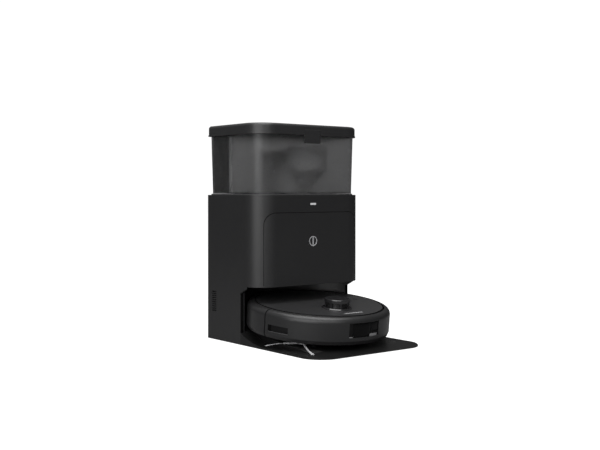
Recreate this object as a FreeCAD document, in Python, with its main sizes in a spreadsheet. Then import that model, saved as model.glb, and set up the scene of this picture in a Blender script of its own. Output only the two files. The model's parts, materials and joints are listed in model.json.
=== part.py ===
"""Round robot vacuum docked on the ramp of its bagless self-emptying station.

Frame: millimetres, +X to the right and -Y to the front of the station, +Z up.
The origin is on the floor, under the middle of the docked pair.
The robot's pieces are drawn level in the robot's own frame (origin on the floor
under its centre, front at -Y) and then placed on the ramp, nose down.
"""
import FreeCAD, Part
import os
import re
import Sketcher

SIZES = {
    # station tower
    "tower_width": 333.0, "tower_depth": 214.0, "tower_front": 2.0,
    "front_corner": 56.4, "rear_corner": 12.0, "wall": 3.0,
    "shoulder_height": 352.3, "bay_height": 138.1, "bay_back": 67.6,
    "bay_corner_drop": 16.0, "bay_corner_run": 34.0, "pocket_gap": 3.5,
    "foot_height": 1.5,
    # service cover, status light and vents
    "cover_half_width": 141.0, "cover_top": 311.5, "cover_corner": 28.0, "cover_gap": 0.45,
    "light_width": 17.0, "light_depth": 4.6, "light_level": 331.0,
    "vent_length": 19.0, "vent_slot": 2.6, "vent_pitch": 5.1, "vent_bottom": 70.0,
    "vent_start": 170.0, "rear_cover_margin": 22.0, "screw_radius": 1.9,
    # dust bin and lid
    "bin_inset": 11.5, "bin_flare": 1.2, "bin_wall": 2.4, "bin_rim": 508.0, "gasket_height": 3.2,
    "lid_bottom": 495.3, "lid_top": 521.2, "lid_inset": 2.2, "lid_wall": 3.0, "lid_roof": 5.0,
    "hinge_level": 497.5, "hinge_pin_radius": 2.0, "pin_play": 0.06,
    "latch_half_width": 24.0, "latch_bottom": 476.0, "latch_top": 513.0, "latch_level": 507.0,
    "cyclone_radius": 52.0, "duct_radius": 18.0, "duct_wall": 2.0,
    "motor_radius": 48.0, "motor_level": 160.0, "motor_height": 92.0, "motor_side": 60.0,
    # ramp and docking travel
    "pad_reach": 218.0, "pad_corner": 55.0, "ramp_skin": 4.0, "track_half_width": 132.0,
    "side_thickness": 5.5, "scoop_start": 30.0, "scoop_height": 24.0,
    "dock_tilt": 5.7, "dock_travel": 300.0, "castor_ahead": 125.0, "robot_ahead": 11.5,
    "rolling_gap": 0.6, "tread_depth": 1.2,
    # robot
    "robot_radius": 170.0, "robot_clearance": 11.0, "plate_radius": 152.5, "plate_level": 76.0,
    "plate_thickness": 3.0, "shell_wall": 3.0, "shoulder_radius": 14.0, "shell_bottom": 14.0,
    "seam": 0.5, "bumper_travel": 3.0, "bumper_end": 18.5, "chassis_radius": 160.0,
    "turret_ahead": 66.0, "turret_base_radius": 35.5, "turret_radius": 30.0, "turret_top": 99.0,
    "wheel_radius": 30.0, "wheel_width": 20.0, "wheel_side": 112.0, "axle_radius": 3.0, "wheel_pivot": 56.0,
    "castor_radius": 11.0, "castor_width": 12.0, "castor_trail": 6.0,
    "roller_radius": 16.0, "roller_half_length": 80.0, "roller_ahead": 50.0, "roller_level": 20.0,
    "brush_side": 107.0, "brush_ahead": 80.0, "brush_reach": 65.5,
    "port_level": 45.0, "port_radius": 16.0, "contact_side": 45.0, "contact_level": 28.0,
    "running_play": 0.05,
}

DERIVED = {
    "half_width": "tower_width / 2",
    "tower_back": "tower_front + tower_depth",
    "pad_front": "tower_front - pad_reach",
    "pocket_radius": "robot_radius + pocket_gap",
    "bin_floor": "shoulder_height + gasket_height",
    "arc_radius": "dock_travel / sin(dock_tilt)",
    "contact_middle": "castor_ahead / 2",
    "ramp_radius": "sqrt(arc_radius ^ 2 + contact_middle ^ 2) + rolling_gap",
    "swing_front": "robot_ahead + contact_middle * cos(dock_tilt) + dock_travel",
    "robot_lift": "contact_middle * sin(dock_tilt) + arc_radius * (1 - cos(dock_tilt))",
    "latch_axis": "tower_front + 4.2",
    "hinge_back": "tower_back - 5",
    "duct_back": "tower_back - 28",
    "vent_count": "10",
}

DOC = FreeCAD.newDocument("DockedRobotVacuum")
SHEET = DOC.addObject("Spreadsheet::Sheet", "Sizes")
for row, (alias, number) in enumerate(SIZES.items(), start=1):
    SHEET.set(f"A{row}", alias)
    SHEET.set(f"B{row}", str(number))
    SHEET.setAlias(f"B{row}", alias)
DOC.recompute()

NODES = {}
COUNTER = {"feature": 0}


# ---------------------------------------------------------------- expressions
def bound(text):
    """The expression text with every size name pointed at its cell of the sheet."""
    def look_up(match):
        word = match.group()
        if word in DERIVED:
            return "(" + bound(DERIVED[word]) + ")"
        return "Sizes." + word if word in SIZES else word
    return re.sub(r"[a-z]+(?:_[a-z]+)*", look_up, str(text))


def value(text):
    """The number that an expression gives now."""
    return float(SHEET.evalExpression(bound(text)))


def fresh(stem):
    """A new unique object name."""
    COUNTER["feature"] += 1
    return f"{stem}_{COUNTER['feature']}"


def bind(thing, **expressions):
    """Tie properties of an object to expressions."""
    for name, text in expressions.items():
        thing.setExpression(name.replace("__", "."), bound(text))
    return thing


# ------------------------------------------------------- sketches and features
def draw_polygon(sketch, points):
    """Close a polygon whose every corner is dimensioned from the sketch origin."""
    first = sketch.GeometryCount
    spots = [FreeCAD.Vector(value(across), value(up), 0) for across, up in points]
    for number, spot in enumerate(spots):
        sketch.addGeometry(Part.LineSegment(spot, spots[(number + 1) % len(spots)]))
    for number in range(len(spots)):
        following = first + (number + 1) % len(spots)
        sketch.addConstraint(Sketcher.Constraint("Coincident", first + number, 2, following, 1))
    for number, (spot, (across, up)) in enumerate(zip(spots, points)):
        for kind, at, text in (("DistanceX", spot.x, across), ("DistanceY", spot.y, up)):
            index = sketch.addConstraint(Sketcher.Constraint(kind, -1, 1, first + number, 1, at))
            sketch.setExpression(f"Constraints[{index}]", bound(text))


def draw_circle(sketch, across, up, radius):
    """A circle with its centre and radius dimensioned."""
    middle = FreeCAD.Vector(value(across), value(up), 0)
    number = sketch.GeometryCount
    sketch.addGeometry(Part.Circle(middle, FreeCAD.Vector(0, 0, 1), value(radius)))
    for kind, at, text in (("DistanceX", middle.x, across), ("DistanceY", middle.y, up)):
        index = sketch.addConstraint(Sketcher.Constraint(kind, -1, 1, number, 3, at))
        sketch.setExpression(f"Constraints[{index}]", bound(text))
    index = sketch.addConstraint(Sketcher.Constraint("Radius", number, value(radius)))
    sketch.setExpression(f"Constraints[{index}]", bound(radius))


def rectangle(left, low, right, high):
    """The corner points of a rectangle."""
    return [(left, low), (right, low), (right, high), (left, high)]


def sketch_on(body, plane, level, loops):
    """A sketch of closed loops, parallel to an origin plane; a 3-tuple loop is a circle."""
    sketch = body.newObject("Sketcher::SketchObject", fresh("Sketch"))
    support = next(item for item in body.Origin.OriginFeatures if item.Role == plane + "_Plane")
    sketch.AttachmentSupport = (support, [""])
    sketch.MapMode = "FlatFace"
    sketch.setExpression("AttachmentOffset.Base.z", bound(level))
    for loop in loops:
        if isinstance(loop, tuple):
            draw_circle(sketch, *loop)
        else:
            draw_polygon(sketch, loop)
    return sketch


def new_body(stem="Body"):
    """An empty PartDesign body."""
    return DOC.addObject("PartDesign::Body", fresh(stem))


def extrude(body, kind, plane, low, high, *loops, taper="0"):
    """Pad or Pocket between two levels measured along the plane's own axis."""
    facing_back = plane == "XZ"
    from_low = (kind == "Pad") != facing_back
    level = low if from_low else high
    before = body.Shape.Volume if kind == "Pocket" else 0.0
    profile = sketch_on(body, plane, f"-({level})" if facing_back else level, loops)
    feature = body.newObject("PartDesign::" + kind, fresh(kind))
    feature.Profile = profile
    bind(feature, Length=f"({high}) - ({low})", TaperAngle=taper)
    DOC.recompute()
    if kind == "Pocket" and body.Shape.Volume > before - 1e-6:
        raise ValueError(f"{feature.Name} cuts nothing")
    return body


def turn(body, kind, *loops):
    """Revolution or Groove of radius-height loops about the body's own Z axis."""
    before = body.Shape.Volume if kind == "Groove" else 0.0
    profile = sketch_on(body, "XZ", "0", loops)
    feature = body.newObject("PartDesign::" + kind, fresh(kind))
    feature.Profile = profile
    feature.ReferenceAxis = (profile, ["V_Axis"])
    feature.Angle = 360
    DOC.recompute()
    if kind == "Groove" and body.Shape.Volume > before - 1e-6:
        raise ValueError(f"{feature.Name} cuts nothing")
    return body


def soften(body, radius, pick, kind="Fillet"):
    """Fillet or chamfer the edges of the body that pick() accepts."""
    names = [f"Edge{number}" for number, edge in enumerate(body.Shape.Edges, start=1) if pick(edge)]
    if not names:
        raise ValueError("no edge to soften")
    base = body.Tip
    feature = body.newObject("PartDesign::" + kind, fresh(kind))
    feature.Base = (base, names)
    bind(feature, **{"Radius" if kind == "Fillet" else "Size": radius})
    DOC.recompute()
    if "Invalid" in feature.State:
        raise ValueError(f"{feature.Name} failed: {feature.getStatusString()}")
    return body


def upright(front=None, right=None):
    """Test for upright edges, at the front or back and at the right or left if stated."""
    def test(edge):
        box = edge.BoundBox
        middle = edge.CenterOfMass
        tall = box.ZLength > 4 * max(box.XLength, box.YLength) and len(edge.Vertexes) == 2
        side = right is None or (middle.x > 0) == right
        return tall and side and (front is None or (middle.y < 60) == front)
    return test


def rounds_at(radius, level):
    """Test for full circular edges about Z with this radius and height."""
    def test(edge):
        curve = edge.Curve
        return (isinstance(curve, Part.Circle) and abs(curve.Radius - value(radius)) < 0.01
                and abs(curve.Center.z - value(level)) < 0.01)
    return test


def level_edges(level):
    """Test for edges that lie at one height."""
    def test(edge):
        box = edge.BoundBox
        return box.ZLength < 0.01 and abs(box.ZMin - value(level)) < 0.01
    return test


# ------------------------------------------------------ primitives and booleans
def block(left, right, front, back, low, high):
    """A box between six expressions."""
    box = DOC.addObject("Part::Box", fresh("Box"))
    return bind(box, Length=f"({right}) - ({left})", Width=f"({back}) - ({front})",
                Height=f"({high}) - ({low})", Placement__Base__x=left,
                Placement__Base__y=front, Placement__Base__z=low)


def rod(radius, length, across, along, up, axis="Z"):
    """A cylinder of this length starting at a point and running along an axis."""
    tube = DOC.addObject("Part::Cylinder", fresh("Rod"))
    turns = {"Z": (FreeCAD.Vector(0, 0, 1), 0), "X": (FreeCAD.Vector(0, 1, 0), 90),
             "Y": (FreeCAD.Vector(1, 0, 0), -90)}
    tube.Placement = FreeCAD.Placement(FreeCAD.Vector(), FreeCAD.Rotation(*turns[axis]))
    return bind(tube, Radius=radius, Height=length, Placement__Base__x=across,
                Placement__Base__y=along, Placement__Base__z=up)


def fuse(*pieces):
    """One solid or group of several."""
    if len(pieces) == 1:
        return pieces[0]
    joined = DOC.addObject("Part::MultiFuse", fresh("Fuse"))
    joined.Shapes = list(pieces)
    return joined


def cut(base, *tools):
    """The base without the tools."""
    result = DOC.addObject("Part::Cut", fresh("Cut"))
    result.Base = base
    result.Tool = fuse(*tools)
    return result


def common(*pieces):
    """What all the pieces share."""
    result = DOC.addObject("Part::MultiCommon", fresh("Common"))
    result.Shapes = list(pieces)
    return result


def tube(outer, inner, length, across, along, up, axis="Z"):
    """A plain tube."""
    return cut(rod(outer, length, across, along, up, axis),
               rod(inner, f"({length}) + 2", across if axis != "X" else f"({across}) - 1",
                   along if axis != "Y" else f"({along}) - 1",
                   up if axis != "Z" else f"({up}) - 1", axis))


def group(*pieces, place=None):
    """Separate solids kept together as they are, moved as one by a placement."""
    held = DOC.addObject("Part::Compound", fresh("Group"))
    held.Links = list(pieces)
    if place is not None:
        held.Placement = place
    return held


def spun(piece, degrees, axis=(0, 0, 1), about=(0, 0, 0)):
    """The piece turned about an axis through a point."""
    turn_by = FreeCAD.Rotation(FreeCAD.Vector(*axis), degrees)
    return group(piece, place=FreeCAD.Placement(FreeCAD.Vector(*about), turn_by))


def node(label, piece, place=None):
    """Name a finished sub-part, and place it."""
    if place is not None:
        piece = group(piece, place=place)
    piece.Label = label
    NODES[label] = piece
    return piece


def docked():
    """Placement that takes the robot's level frame to its tilted place on the ramp."""
    return FreeCAD.Placement(
        FreeCAD.Vector(0, -value("robot_ahead"), value("robot_lift")),
        FreeCAD.Rotation(FreeCAD.Vector(1, 0, 0), value("dock_tilt")))


def robot_node(label, piece, local=None):
    """A finished robot sub-part, drawn in the robot's frame or in a local one."""
    place = docked()
    return node(label, piece, place.multiply(local) if local else place)


def local_at(across, along, up, axis="Z"):
    """Placement of a locally drawn piece; its Z axis turns to the stated axis."""
    turns = {"Z": (FreeCAD.Vector(0, 0, 1), 0), "X": (FreeCAD.Vector(0, 1, 0), 90),
             "Y": (FreeCAD.Vector(1, 0, 0), -90)}
    return FreeCAD.Placement(FreeCAD.Vector(value(across), value(along), value(up)),
                             FreeCAD.Rotation(*turns[axis]))


# --------------------------------------------------------------- station shell
def tower_prism(inset, low, high, taper="0"):
    """The tower's rounded outline, pulled in by an inset, between two levels."""
    body = new_body("Prism")
    sides = rectangle(f"-half_width + ({inset})", f"tower_front + ({inset})",
                      f"half_width - ({inset})", f"tower_back - ({inset})")
    extrude(body, "Pad", "XY", low, high, sides, taper=taper)
    soften(body, f"front_corner - ({inset})", upright(front=True))
    soften(body, f"max(rear_corner - ({inset}); 3)", upright(front=False))
    return body


def cover_window(inset):
    """The service cover's outline, run back through the front wall and its corners."""
    body = new_body("Window")
    sides = rectangle(f"-cover_half_width + ({inset})", "bay_height",
                      f"cover_half_width - ({inset})", f"cover_top - ({inset})")
    extrude(body, "Pad", "XZ", "tower_front - 1", "tower_front + front_corner", sides)
    top_edges = lambda edge: edge.BoundBox.YLength > 20 and edge.CenterOfMass.z > value("cover_top") - 2
    return soften(body, "cover_corner", top_edges)


def front_skin(thickness):
    """The tower's wall alone, open above and below."""
    return cut(tower_prism("0", "bay_height", "shoulder_height"),
               tower_prism(thickness, "bay_height - 1", "shoulder_height + 1"))


def bay_cut():
    """The C-shaped docking bay, open to the front and both sides."""
    body = new_body("Bay")
    outline = [("tower_front - 10", "-10"), ("bay_back", "-10"),
               ("bay_back", "bay_height - bay_corner_drop"),
               ("bay_back - bay_corner_run", "bay_height"), ("tower_front - 10", "bay_height")]
    return extrude(body, "Pad", "YZ", "-half_width - 10", "half_width + 10", outline)


def tower_hollow():
    """The room inside the tower, above the bay and behind the robot's pocket."""
    upper = tower_prism("wall", "bay_height + wall", "shoulder_height - wall")
    lower = common(tower_prism("wall", "foot_height - 1", "bay_height + wall + 1"),
                   cut(block("-half_width", "half_width", "bay_back + wall", "tower_back",
                             "foot_height - 2", "bay_height + wall + 2"),
                       rod("pocket_radius + wall", "bay_height + wall + 8", "0", "-robot_ahead", "-5")))
    return fuse(upper, lower)


def vent_slots(first_wall, last_wall):
    """A comb of slots through the side walls, beside the exhaust filter."""
    slots = []
    for number in range(int(value("vent_count"))):
        low = f"vent_bottom + {number} * vent_pitch"
        slots.append(block(first_wall, last_wall, "vent_start", "vent_start + vent_length",
                           low, f"{low} + vent_slot"))
    return slots


def station_housing():
    """The tower's shell: walls, ceiling of the bay, round pocket wall and top deck."""
    outer = tower_prism("0", "foot_height", "shoulder_height")
    pocket = rod("pocket_radius", "bay_height + 5", "0", "-robot_ahead", "-5")
    margin = "half_width - rear_cover_margin"
    rear = block(f"-({margin})", margin, "tower_back - wall - 1", "tower_back + 1", "20", "340")
    light = block("-light_width / 2 - 0.2", "light_width / 2 + 0.2", "tower_front - 1",
                  "tower_front + wall + 1", "light_level - light_depth / 2 - 0.2",
                  "light_level + light_depth / 2 + 0.2")
    duct_hole = rod("duct_radius + 0.3", "20", "0", "duct_back", "shoulder_height - 10")
    motor_hole = rod("13.2", "20", "motor_side", "105", "shoulder_height - 10")
    window = common(cover_window("0"), front_skin("wall"))
    vents = vent_slots("-half_width - 1", "-half_width + wall + 1")
    vents += vent_slots("half_width - wall - 1", "half_width + 1")
    openings = robot_tools()
    screws = [fuse(rod("screw_radius + 0.02", "20", x, "tower_back - 10", z, "Y"),
                   rod("3.5", "5", x, "tower_back - 1.6", z, "Y")) for x, z in screw_places()]
    return node("station_housing", cut(outer, bay_cut(), pocket, tower_hollow(), rear, light, duct_hole,
                                       motor_hole, window, *vents, *openings, *screws))


def robot_tools():
    """Holes through the pocket's wall for the dust seal, the two contacts and the signal window."""
    tools = []
    reach = "60"
    port = rod("port_radius + 6.2", reach, "0", "robot_radius - 8", "port_level", "Y")
    tools.append(port)
    for side in ("-contact_side", "contact_side"):
        tools.append(rod("3.4", reach, side, "robot_radius - 30", "contact_level", "Y"))
    tools = [group(*tools, place=docked())]
    tools.append(block("-16.3", "16.3", "bay_back + 70", "bay_back + 110", "117.7", "130.3"))
    return tools


def screw_places():
    """Where the rear cover's screws stand, across and up."""
    side = "half_width - 14.5"
    return [(f"{sign}({side})", level) for sign in ("-", "") for level in ("40", "180", "320")]


def rear_parts():
    """The rear cover with its inner flange, and its screws."""
    margin = "half_width - rear_cover_margin - 0.3"
    flange = "half_width - 4"
    plate = block(f"-({margin})", margin, "tower_back - wall - 0.1", "tower_back", "20.3", "339.7")
    rim = block(f"-({flange})", flange, "tower_back - wall - 4", "tower_back - wall", "14", "346")
    holes = [rod("screw_radius + 0.02", "30", x, "tower_back - 20", z, "Y") for x, z in screw_places()]
    inlet = block("102.7", "137.3", "tower_back - 20", "tower_back + 2", "36.7", "63.3")
    around_duct = rod("duct_radius + 4", "bay_height", "0", "duct_back", "10")
    node("rear_cover", cut(fuse(plate, common(rim, tower_prism("wall", "5", "349"))),
                           inlet, around_duct, *holes))
    screws = [fuse(rod("3.4", "1.4", x, "tower_back - 1.6", z, "Y"),
                   rod("screw_radius", "7", x, "tower_back - 8.5", z, "Y")) for x, z in screw_places()]
    node("housing_screws", group(*screws))


# ------------------------------------------------------------------------ base
def arc_drum(radius, extra="0"):
    """A drum about the docking swing's far axis; what it removes leaves the ramp's arc."""
    return rod(f"{radius} + {extra}", "tower_width + 40", "-half_width - 20",
               "-swing_front", "arc_radius", "X")


def base_outline(inset, high):
    """The ramp's plan: the wide pad, and the round floor of the robot's pocket behind it."""
    body = new_body("Pad")
    sides = rectangle(f"-half_width + ({inset})", f"pad_front + ({inset})",
                      f"half_width - ({inset})", f"bay_back - 0.2 - ({inset})")
    extrude(body, "Pad", "XY", "foot_height", high, sides)
    soften(body, f"pad_corner - ({inset})", lambda edge: edge.BoundBox.ZLength > 1
           and edge.CenterOfMass.y < value("pad_front") + 20)
    floor = common(rod(f"pocket_radius - 0.3 - ({inset})", f"{high} - foot_height", "0", "-robot_ahead",
                       "foot_height"),
                   block("-half_width", "half_width", f"bay_back - 10 - ({inset})", "tower_back",
                         "foot_height", high))
    return fuse(body, floor)


def side_scoops():
    """What is taken off both flanks, so that they sweep down from the tower to a thin edge."""
    scoops = []
    radius = "((bay_back + scoop_start) ^ 2 + scoop_height ^ 2) / (2 * scoop_height)"
    for left, right in (("-half_width - 5", "-track_half_width"), ("track_half_width", "half_width + 5")):
        flat = block(left, right, "pad_front - 5", "-scoop_start", "side_thickness", "80")
        drum = rod(radius, "tower_width + 20", "-half_width - 10", "-scoop_start",
                   f"side_thickness + {radius}", "X")
        scoops += [flat, common(drum, block(left, right, "-scoop_start - 0.01", "bay_back",
                                            "side_thickness", "80"))]
    return scoops


def tread_blocks(depth):
    """Cross ribs along both wheel tracks."""
    ribs = []
    for side in ("-wheel_side", "wheel_side"):
        for number in range(12):
            front = f"-150 + {number} * 12"
            ribs.append(block(f"{side} - 15", f"{side} + 15", front, f"{front} + 5", "0", depth))
    return ribs


def base_parts():
    """Ramp with its treads, the plates that close the ramp and the tower below, and feet."""
    arc = cut(base_outline("0", "60"), arc_drum("ramp_radius"), *side_scoops())
    under = cut(base_outline("5", "60"), arc_drum("ramp_radius", "ramp_skin"),
                block("-half_width", "-track_half_width + 5", "pad_front", "bay_back + 2", "0", "80"),
                block("track_half_width - 5", "half_width", "pad_front", "bay_back + 2", "0", "80"))
    band = cut(arc_drum("ramp_radius", "tread_depth"), arc_drum("ramp_radius"))
    treads = common(band, fuse(*tread_blocks("60")))
    node("ramp_treads", treads)
    node("base_ramp", cut(arc, under, common(band, fuse(*tread_blocks("60")))))
    front = common(base_outline("5.3", "foot_height + 2"),
                   block("-track_half_width + 5.4", "track_half_width - 5.4", "-88", "150", "0", "20"))
    behind = cut(block("-half_width", "half_width", "bay_back + wall + 0.2", "tower_back", "0", "20"),
                 rod("pocket_radius + wall + 0.2", "40", "0", "-robot_ahead", "-5"))
    back = common(tower_prism("wall + 0.2", "foot_height", "foot_height + 3"), behind)
    node("underside_plates", group(front, back))
    places = [(x, y) for x in ("-140", "140") for y in ("-150", "0", "45")]
    places += [(x, "190") for x in ("-150", "150")]
    node("rubber_feet", group(*[rod("9", "foot_height", x, y, "0") for x, y in places]))


# --------------------------------------------------------- front of the station
def front_cover_parts():
    """The pull-off service cover with its plain badge and the status light above it."""
    skin = common(cover_window("cover_gap"), front_skin("wall - cover_gap"))
    badge_level = "242"
    seat = rod("12.2", "3", "0", "tower_front - 2", badge_level, "Y")
    node("front_cover", cut(skin, seat))
    ring = tube("12", "10.2", "1.4", "0", "tower_front - 0.4", badge_level, "Y")
    bar = block("-1.4", "1.4", "tower_front - 0.4", "tower_front + 1", f"{badge_level} - 10.5",
                f"{badge_level} + 10.5")
    node("cover_badge", fuse(ring, bar))
    lens = block("-light_width / 2", "light_width / 2", "tower_front - 0.2", "tower_front + wall",
                 "light_level - light_depth / 2", "light_level + light_depth / 2")
    node("status_light", lens)
    board = fuse(block("-45", "45", "tower_front + wall + 1", "tower_front + wall + 2.6", "315", "346"),
                 block("-8", "8", "tower_front + wall + 2.6", "tower_front + wall + 5", "325", "337"),
                 block("20", "38", "tower_front + wall + 2.6", "tower_front + wall + 9", "320", "328"))
    node("control_board", board)


# ---------------------------------------------------------------- station inside
def dust_path():
    """The seal that meets the robot, the duct that climbs to the bin, and the window above it."""
    seal = tube("port_radius + 6", "port_radius", "10.5", "0", "robot_radius + 0.6", "port_level", "Y")
    robot_node("dust_inlet_seal", seal)
    across = rod("port_radius", "34", "0", "robot_radius + 11.2", "port_level", "Y")
    across_bore = rod("port_radius - duct_wall", "36", "0", "robot_radius + 10", "port_level", "Y")
    tilted = [group(piece, place=docked()) for piece in (across, across_bore)]
    sump = "62"
    up = rod("duct_radius", f"bin_floor - 0.4 - {sump}", "0", "duct_back", sump)
    up_bore = rod("duct_radius - duct_wall", f"bin_floor - {sump}", "0", "duct_back", f"{sump} + 3")
    limit = block("-40", "40", "bay_back", "duct_back", "40", "140")
    node("dust_duct", cut(fuse(common(tilted[0], limit), up), common(tilted[1], limit), up_bore))
    node("dock_signal_window", block("-16", "16", "pocket_radius - robot_ahead - 1.9",
                                     "pocket_radius - robot_ahead + 4.4", "118", "130"))


def motor_parts():
    """The suction motor's can with its rubber mounts, its impeller and the exhaust filter."""
    can = new_body("Can")
    top = "motor_level + motor_height"
    turn(can, "Revolution", [("0", "motor_level"), ("motor_radius", "motor_level"),
                             ("motor_radius", top), ("13", top), ("13", "shoulder_height + 1"),
                             ("11", "shoulder_height + 1"), ("11", f"{top} - 3"),
                             ("motor_radius - 3", f"{top} - 3"), ("motor_radius - 3", "motor_level + 3"),
                             ("4", "motor_level + 3"), ("4", "motor_level + 40"), ("0", "motor_level + 40")])
    place = local_at("motor_side", "105", "0")
    node("motor_housing", can, place)
    node("motor_mounts", group(*[rod("8", "motor_level - bay_height - wall", f"motor_side + {x}",
                                     f"105 + {y}", "bay_height + wall")
                                 for x in ("-30", "30") for y in ("-30", "30")]))
    fan = new_body("Fan")
    base = "motor_level + 52"
    turn(fan, "Revolution", [("4 + running_play", "motor_level + 30"), ("9", "motor_level + 30"),
                             ("9", base), ("motor_radius - 6", base), ("motor_radius - 6", f"{base} + 2"),
                             ("8", f"{base} + 14"), ("0", f"{base} + 14"), ("0", "motor_level + 41"),
                             ("4 + running_play", "motor_level + 41")])
    blades = [spun(block("9", "motor_radius - 7", "-0.9", "0.9", f"{base} + 1", f"{base} + 12"),
                   number * 40) for number in range(9)]
    node("suction_impeller", fuse(fan, *blades), place)
    pleats = [block("-half_width + wall + 6", "-half_width + wall + 20", f"vent_start - 2 + {n} * 4",
                    f"vent_start + {n} * 4", "62", "126") for n in range(6)]
    frame = block("-half_width + wall + 1", "-half_width + wall + 6", "vent_start - 5",
                  "vent_start + vent_length + 5", "60", "128")
    window = block("-half_width + wall", "-half_width + wall + 3", "vent_start - 1",
                   "vent_start + vent_length + 1", "66", "122")
    node("exhaust_filter", cut(fuse(frame, *pleats), window))


def power_parts():
    """The power supply with its fins and the socket in the rear cover."""
    case = block("-140", "-60", "40", "130", "bay_height + wall", "195")
    fins = [block(f"-132 + {n} * 12", f"-129 + {n} * 12", "46", "124", "194", "203") for n in range(6)]
    node("power_supply", fuse(case, *fins))
    shell = block("103", "137", "tower_back - 16", "tower_back + 0", "37", "63")
    recess = block("107", "133", "tower_back - 12", "tower_back + 1", "43", "57")
    pins = [rod("1.2", "9", x, "tower_back - 13", "50", "Y") for x in ("114", "126")]
    node("power_inlet", fuse(cut(shell, recess), *pins))


# ---------------------------------------------------------------- dust bin, lid
def bin_shell(inset, low, high):
    """The bin's tapered rounded outline between two levels."""
    return tower_prism(f"bin_inset + {inset}", low, high, taper="bin_flare")


def hinge_bores(play):
    """The bore along the hinge axis, through everything at the hinge."""
    return rod(f"hinge_pin_radius + {play}", "120", "-60", "hinge_back", "hinge_level", "X")


def dust_bin_parts():
    """The smoked bin with its hinge ears and catch, and the cyclone it holds."""
    outer = bin_shell("0", "bin_floor", "bin_rim")
    inner = bin_shell("bin_wall", "bin_floor + 3", "bin_rim + 1")
    ears = [fuse(block(f"{x} - 3", f"{x} + 3", "hinge_back - 9", "hinge_back", "hinge_level - 16",
                       "hinge_level + 4"),
                 rod("4", "6", f"{x} - 3", "hinge_back", "hinge_level", "X")) for x in ("-30", "30")]
    ears = [cut(ear, bin_shell("bin_wall", "bin_floor", "bin_rim + 20")) for ear in ears]
    catch = block("-16", "16", "tower_front + 5.9", "tower_front + 12", "latch_bottom + 6.2",
                  "latch_bottom + 10")
    catch = cut(catch, bin_shell("bin_wall", "bin_floor", "bin_rim + 20"))
    inlet = rod("duct_radius - duct_wall", "20", "0", "duct_back", "bin_floor - 5")
    outlet = rod("7.5", "20", "motor_side", "105", "bin_floor - 5")
    node("dust_bin", cut(fuse(outer, *ears, catch), inner, inlet, outlet, hinge_bores("pin_play")))
    node("hinge_pin", rod("hinge_pin_radius", "84", "-42", "hinge_back", "hinge_level", "X"))
    ring = cut(tower_prism("bin_inset - 3", "shoulder_height", "bin_floor - 0.3"),
               tower_prism("bin_inset + 7", "shoulder_height - 1", "bin_floor + 1"),
               rod("duct_radius + 0.3", "60", "0", "duct_back", "shoulder_height - 20"))
    node("bin_seat_gasket", ring)


def cyclone_parts():
    """The cyclone in the bin: its cone and clean-air pipe on three legs, its screen and filter."""
    floor = "bin_floor + 3"
    place = local_at("motor_side", "105", floor)
    cone = new_body("Cyclone")
    turn(cone, "Revolution", [
        ("16", "12"), ("18", "12"), ("26", "28"), ("cyclone_radius", "56"), ("cyclone_radius", "112"),
        ("cyclone_radius - 2", "112"), ("cyclone_radius - 2", "57"), ("24", "29")])
    legs = [spun(block("15.5", "19", "-1.5", "1.5", "0", "16"), 30 + number * 120) for number in range(3)]
    webs = [spun(block("8.5", "17.5", "-0.8", "0.8", "12.5", "17"), 90 + number * 120)
            for number in range(3)]
    pipe = tube("9", "7.5", "86", "0", "0", "0")
    entry = block("-18", "14", "cyclone_radius - 14", "cyclone_radius + 4", "78", "104")
    node("cyclone_body", cut(fuse(cone, pipe, *legs, *webs), entry), place)
    screen = new_body("Screen")
    turn(screen, "Revolution", [("9.1", "58"), ("18", "58"), ("30", "80"), ("30", "112"), ("49", "112"),
                                ("49", "114"), ("28", "114"), ("28", "80.6"), ("17", "60"), ("9.1", "60")])
    node("cyclone_screen", screen, place)
    pleats = new_body("Filter")
    turn(pleats, "Revolution", [("9.1", "84"), ("25", "84"), ("25", "112"), ("9.1", "112")])
    grooves = [(f"25 * cos({number * 15})", f"25 * sin({number * 15})", "1.6") for number in range(24)]
    extrude(pleats, "Pocket", "XY", "86", "110", *grooves)
    node("bin_filter", pleats, place)


def bin_duct():
    """The square riser that lifts the dust from the deck to the cyclone's entry."""
    low = "bin_floor + 3"
    riser = block("-22", "22", "duct_back - 24", "duct_back + 13", low, f"{low} + 106")
    bridge = block("10", "motor_side + 16", "157.4", "duct_back + 13", f"{low} + 76", f"{low} + 106")
    riser_room = block("-20", "20", "duct_back - 22", "duct_back + 11", f"{low} - 1", f"{low} + 104")
    bridge_room = block("0", "motor_side + 14", "159.4", "duct_back + 11", f"{low} + 78", f"{low} + 104")
    mouth = block("motor_side - 18", "motor_side + 14", "150", "162", f"{low} + 78", f"{low} + 104")
    node("bin_duct", cut(fuse(riser, bridge), riser_room, bridge_room, mouth))


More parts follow.
